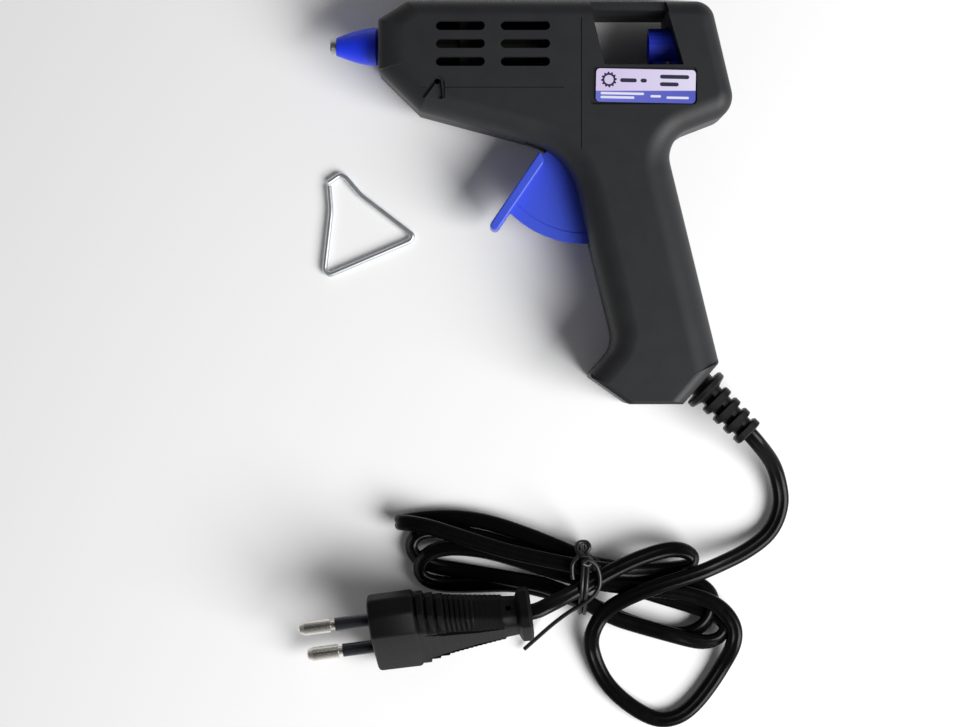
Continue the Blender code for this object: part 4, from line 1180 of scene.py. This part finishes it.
@dataclass
class Studio:
    """Camera, pale surface and soft lights."""

    eye: Point3 = SIGHT
    lens: float = 85.25

    def build_camera(self) -> None:
        """The view straight down."""
        data = bpy.data.cameras.new("camera")
        data.sensor_width = 36.0
        data.lens = self.lens
        data.clip_start = 0.01
        camera = bpy.data.objects.new("camera", data)
        camera.location = place(*self.eye)
        camera.rotation_euler = (0.0, 0.0, 0.0)
        bpy.context.scene.collection.objects.link(camera)
        bpy.context.scene.camera = camera

    def build(self) -> None:
        """The surface and the lights."""
        bm = bmesh.new()
        bmesh.ops.create_grid(bm, x_segments=1, y_segments=1, size=1.6)
        mesh = bpy.data.meshes.new("surface")
        bm.to_mesh(mesh)
        bm.free()
        mesh.materials.append(self.surface())
        floor = bpy.data.objects.new("surface", mesh)
        floor.location = (0, 0, -0.0006)
        bpy.context.scene.collection.objects.link(floor)
        bpy.context.scene.world = self.sky()
        bpy.context.scene.view_settings.view_transform = "Standard"
        self.area("key", (0.55, -0.40, 0.60), (0.02, 0.0, 0.0), 0.6, 11.0)

    @staticmethod
    def sky() -> bpy.types.World:
        """Soft surroundings: dark overhead, bright low down on the +X and -Y sides."""
        world = bpy.data.worlds.new("studio")
        world.use_nodes = True
        tree = world.node_tree
        way = tree.nodes.new("ShaderNodeTexCoord").outputs["Generated"]
        toward = tree.nodes.new("ShaderNodeVectorMath")
        toward.operation = "DOT_PRODUCT"
        toward.inputs[1].default_value = (0.8, -0.6, 0.0)
        tree.links.new(way, toward.inputs[0])
        side = tree.nodes.new("ShaderNodeMapRange")
        side.interpolation_type = "SMOOTHSTEP"
        side.inputs["From Min"].default_value = -0.7
        side.inputs["From Max"].default_value = 0.9
        side.inputs["To Min"].default_value = 0.62
        tree.links.new(toward.outputs["Value"], side.inputs["Value"])
        parts = tree.nodes.new("ShaderNodeSeparateXYZ")
        tree.links.new(way, parts.inputs[0])
        low = Shader.maths(tree, "MULTIPLY_ADD", parts.outputs["Z"], -1.0, 1.0)
        both = tree.nodes.new("ShaderNodeMath")
        both.operation = "MULTIPLY"
        tree.links.new(low, both.inputs[0])
        tree.links.new(side.outputs["Result"], both.inputs[1])
        strength = Shader.maths(tree, "MULTIPLY_ADD", both.outputs[0], 13.0, 0.15)
        tree.links.new(strength, tree.nodes["Background"].inputs["Strength"])
        return world

    @staticmethod
    def surface() -> bpy.types.Material:
        """A plain pale surface."""
        mat = bpy.data.materials.new("surface_paint")
        mat.use_nodes = True
        shader = mat.node_tree.nodes["Principled BSDF"]
        shader.inputs["Base Color"].default_value = (0.99, 0.99, 0.99, 1.0)
        shader.inputs["Roughness"].default_value = 0.9
        shader.inputs["Specular IOR Level"].default_value = 0.1
        return mat

    @staticmethod
    def area(name: str, at: Point3, target: Point3, size: float, power: float) -> None:
        """One soft square light."""
        data = bpy.data.lights.new(name, "AREA")
        data.size = size
        data.energy = power
        light = bpy.data.objects.new(name, data)
        light.location = at
        light.rotation_euler = (Vector(target) - Vector(at)).to_track_quat("-Z", "Y").to_euler()
        bpy.context.scene.collection.objects.link(light)


def main() -> None:
    """Build the scene."""
    logging.basicConfig(level=logging.INFO, format="%(name)s: %(message)s")
    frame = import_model()
    studio = Studio()
    studio.build_camera()
    CarriedOver().build(frame)
    CordSet().build()
    Housing().build()
    Trigger().build()
    Nose().build()
    Label().build()
    WireStand().build()
    studio.build()
    LOG.info("scene built")


if __name__ == "__main__":
    main()
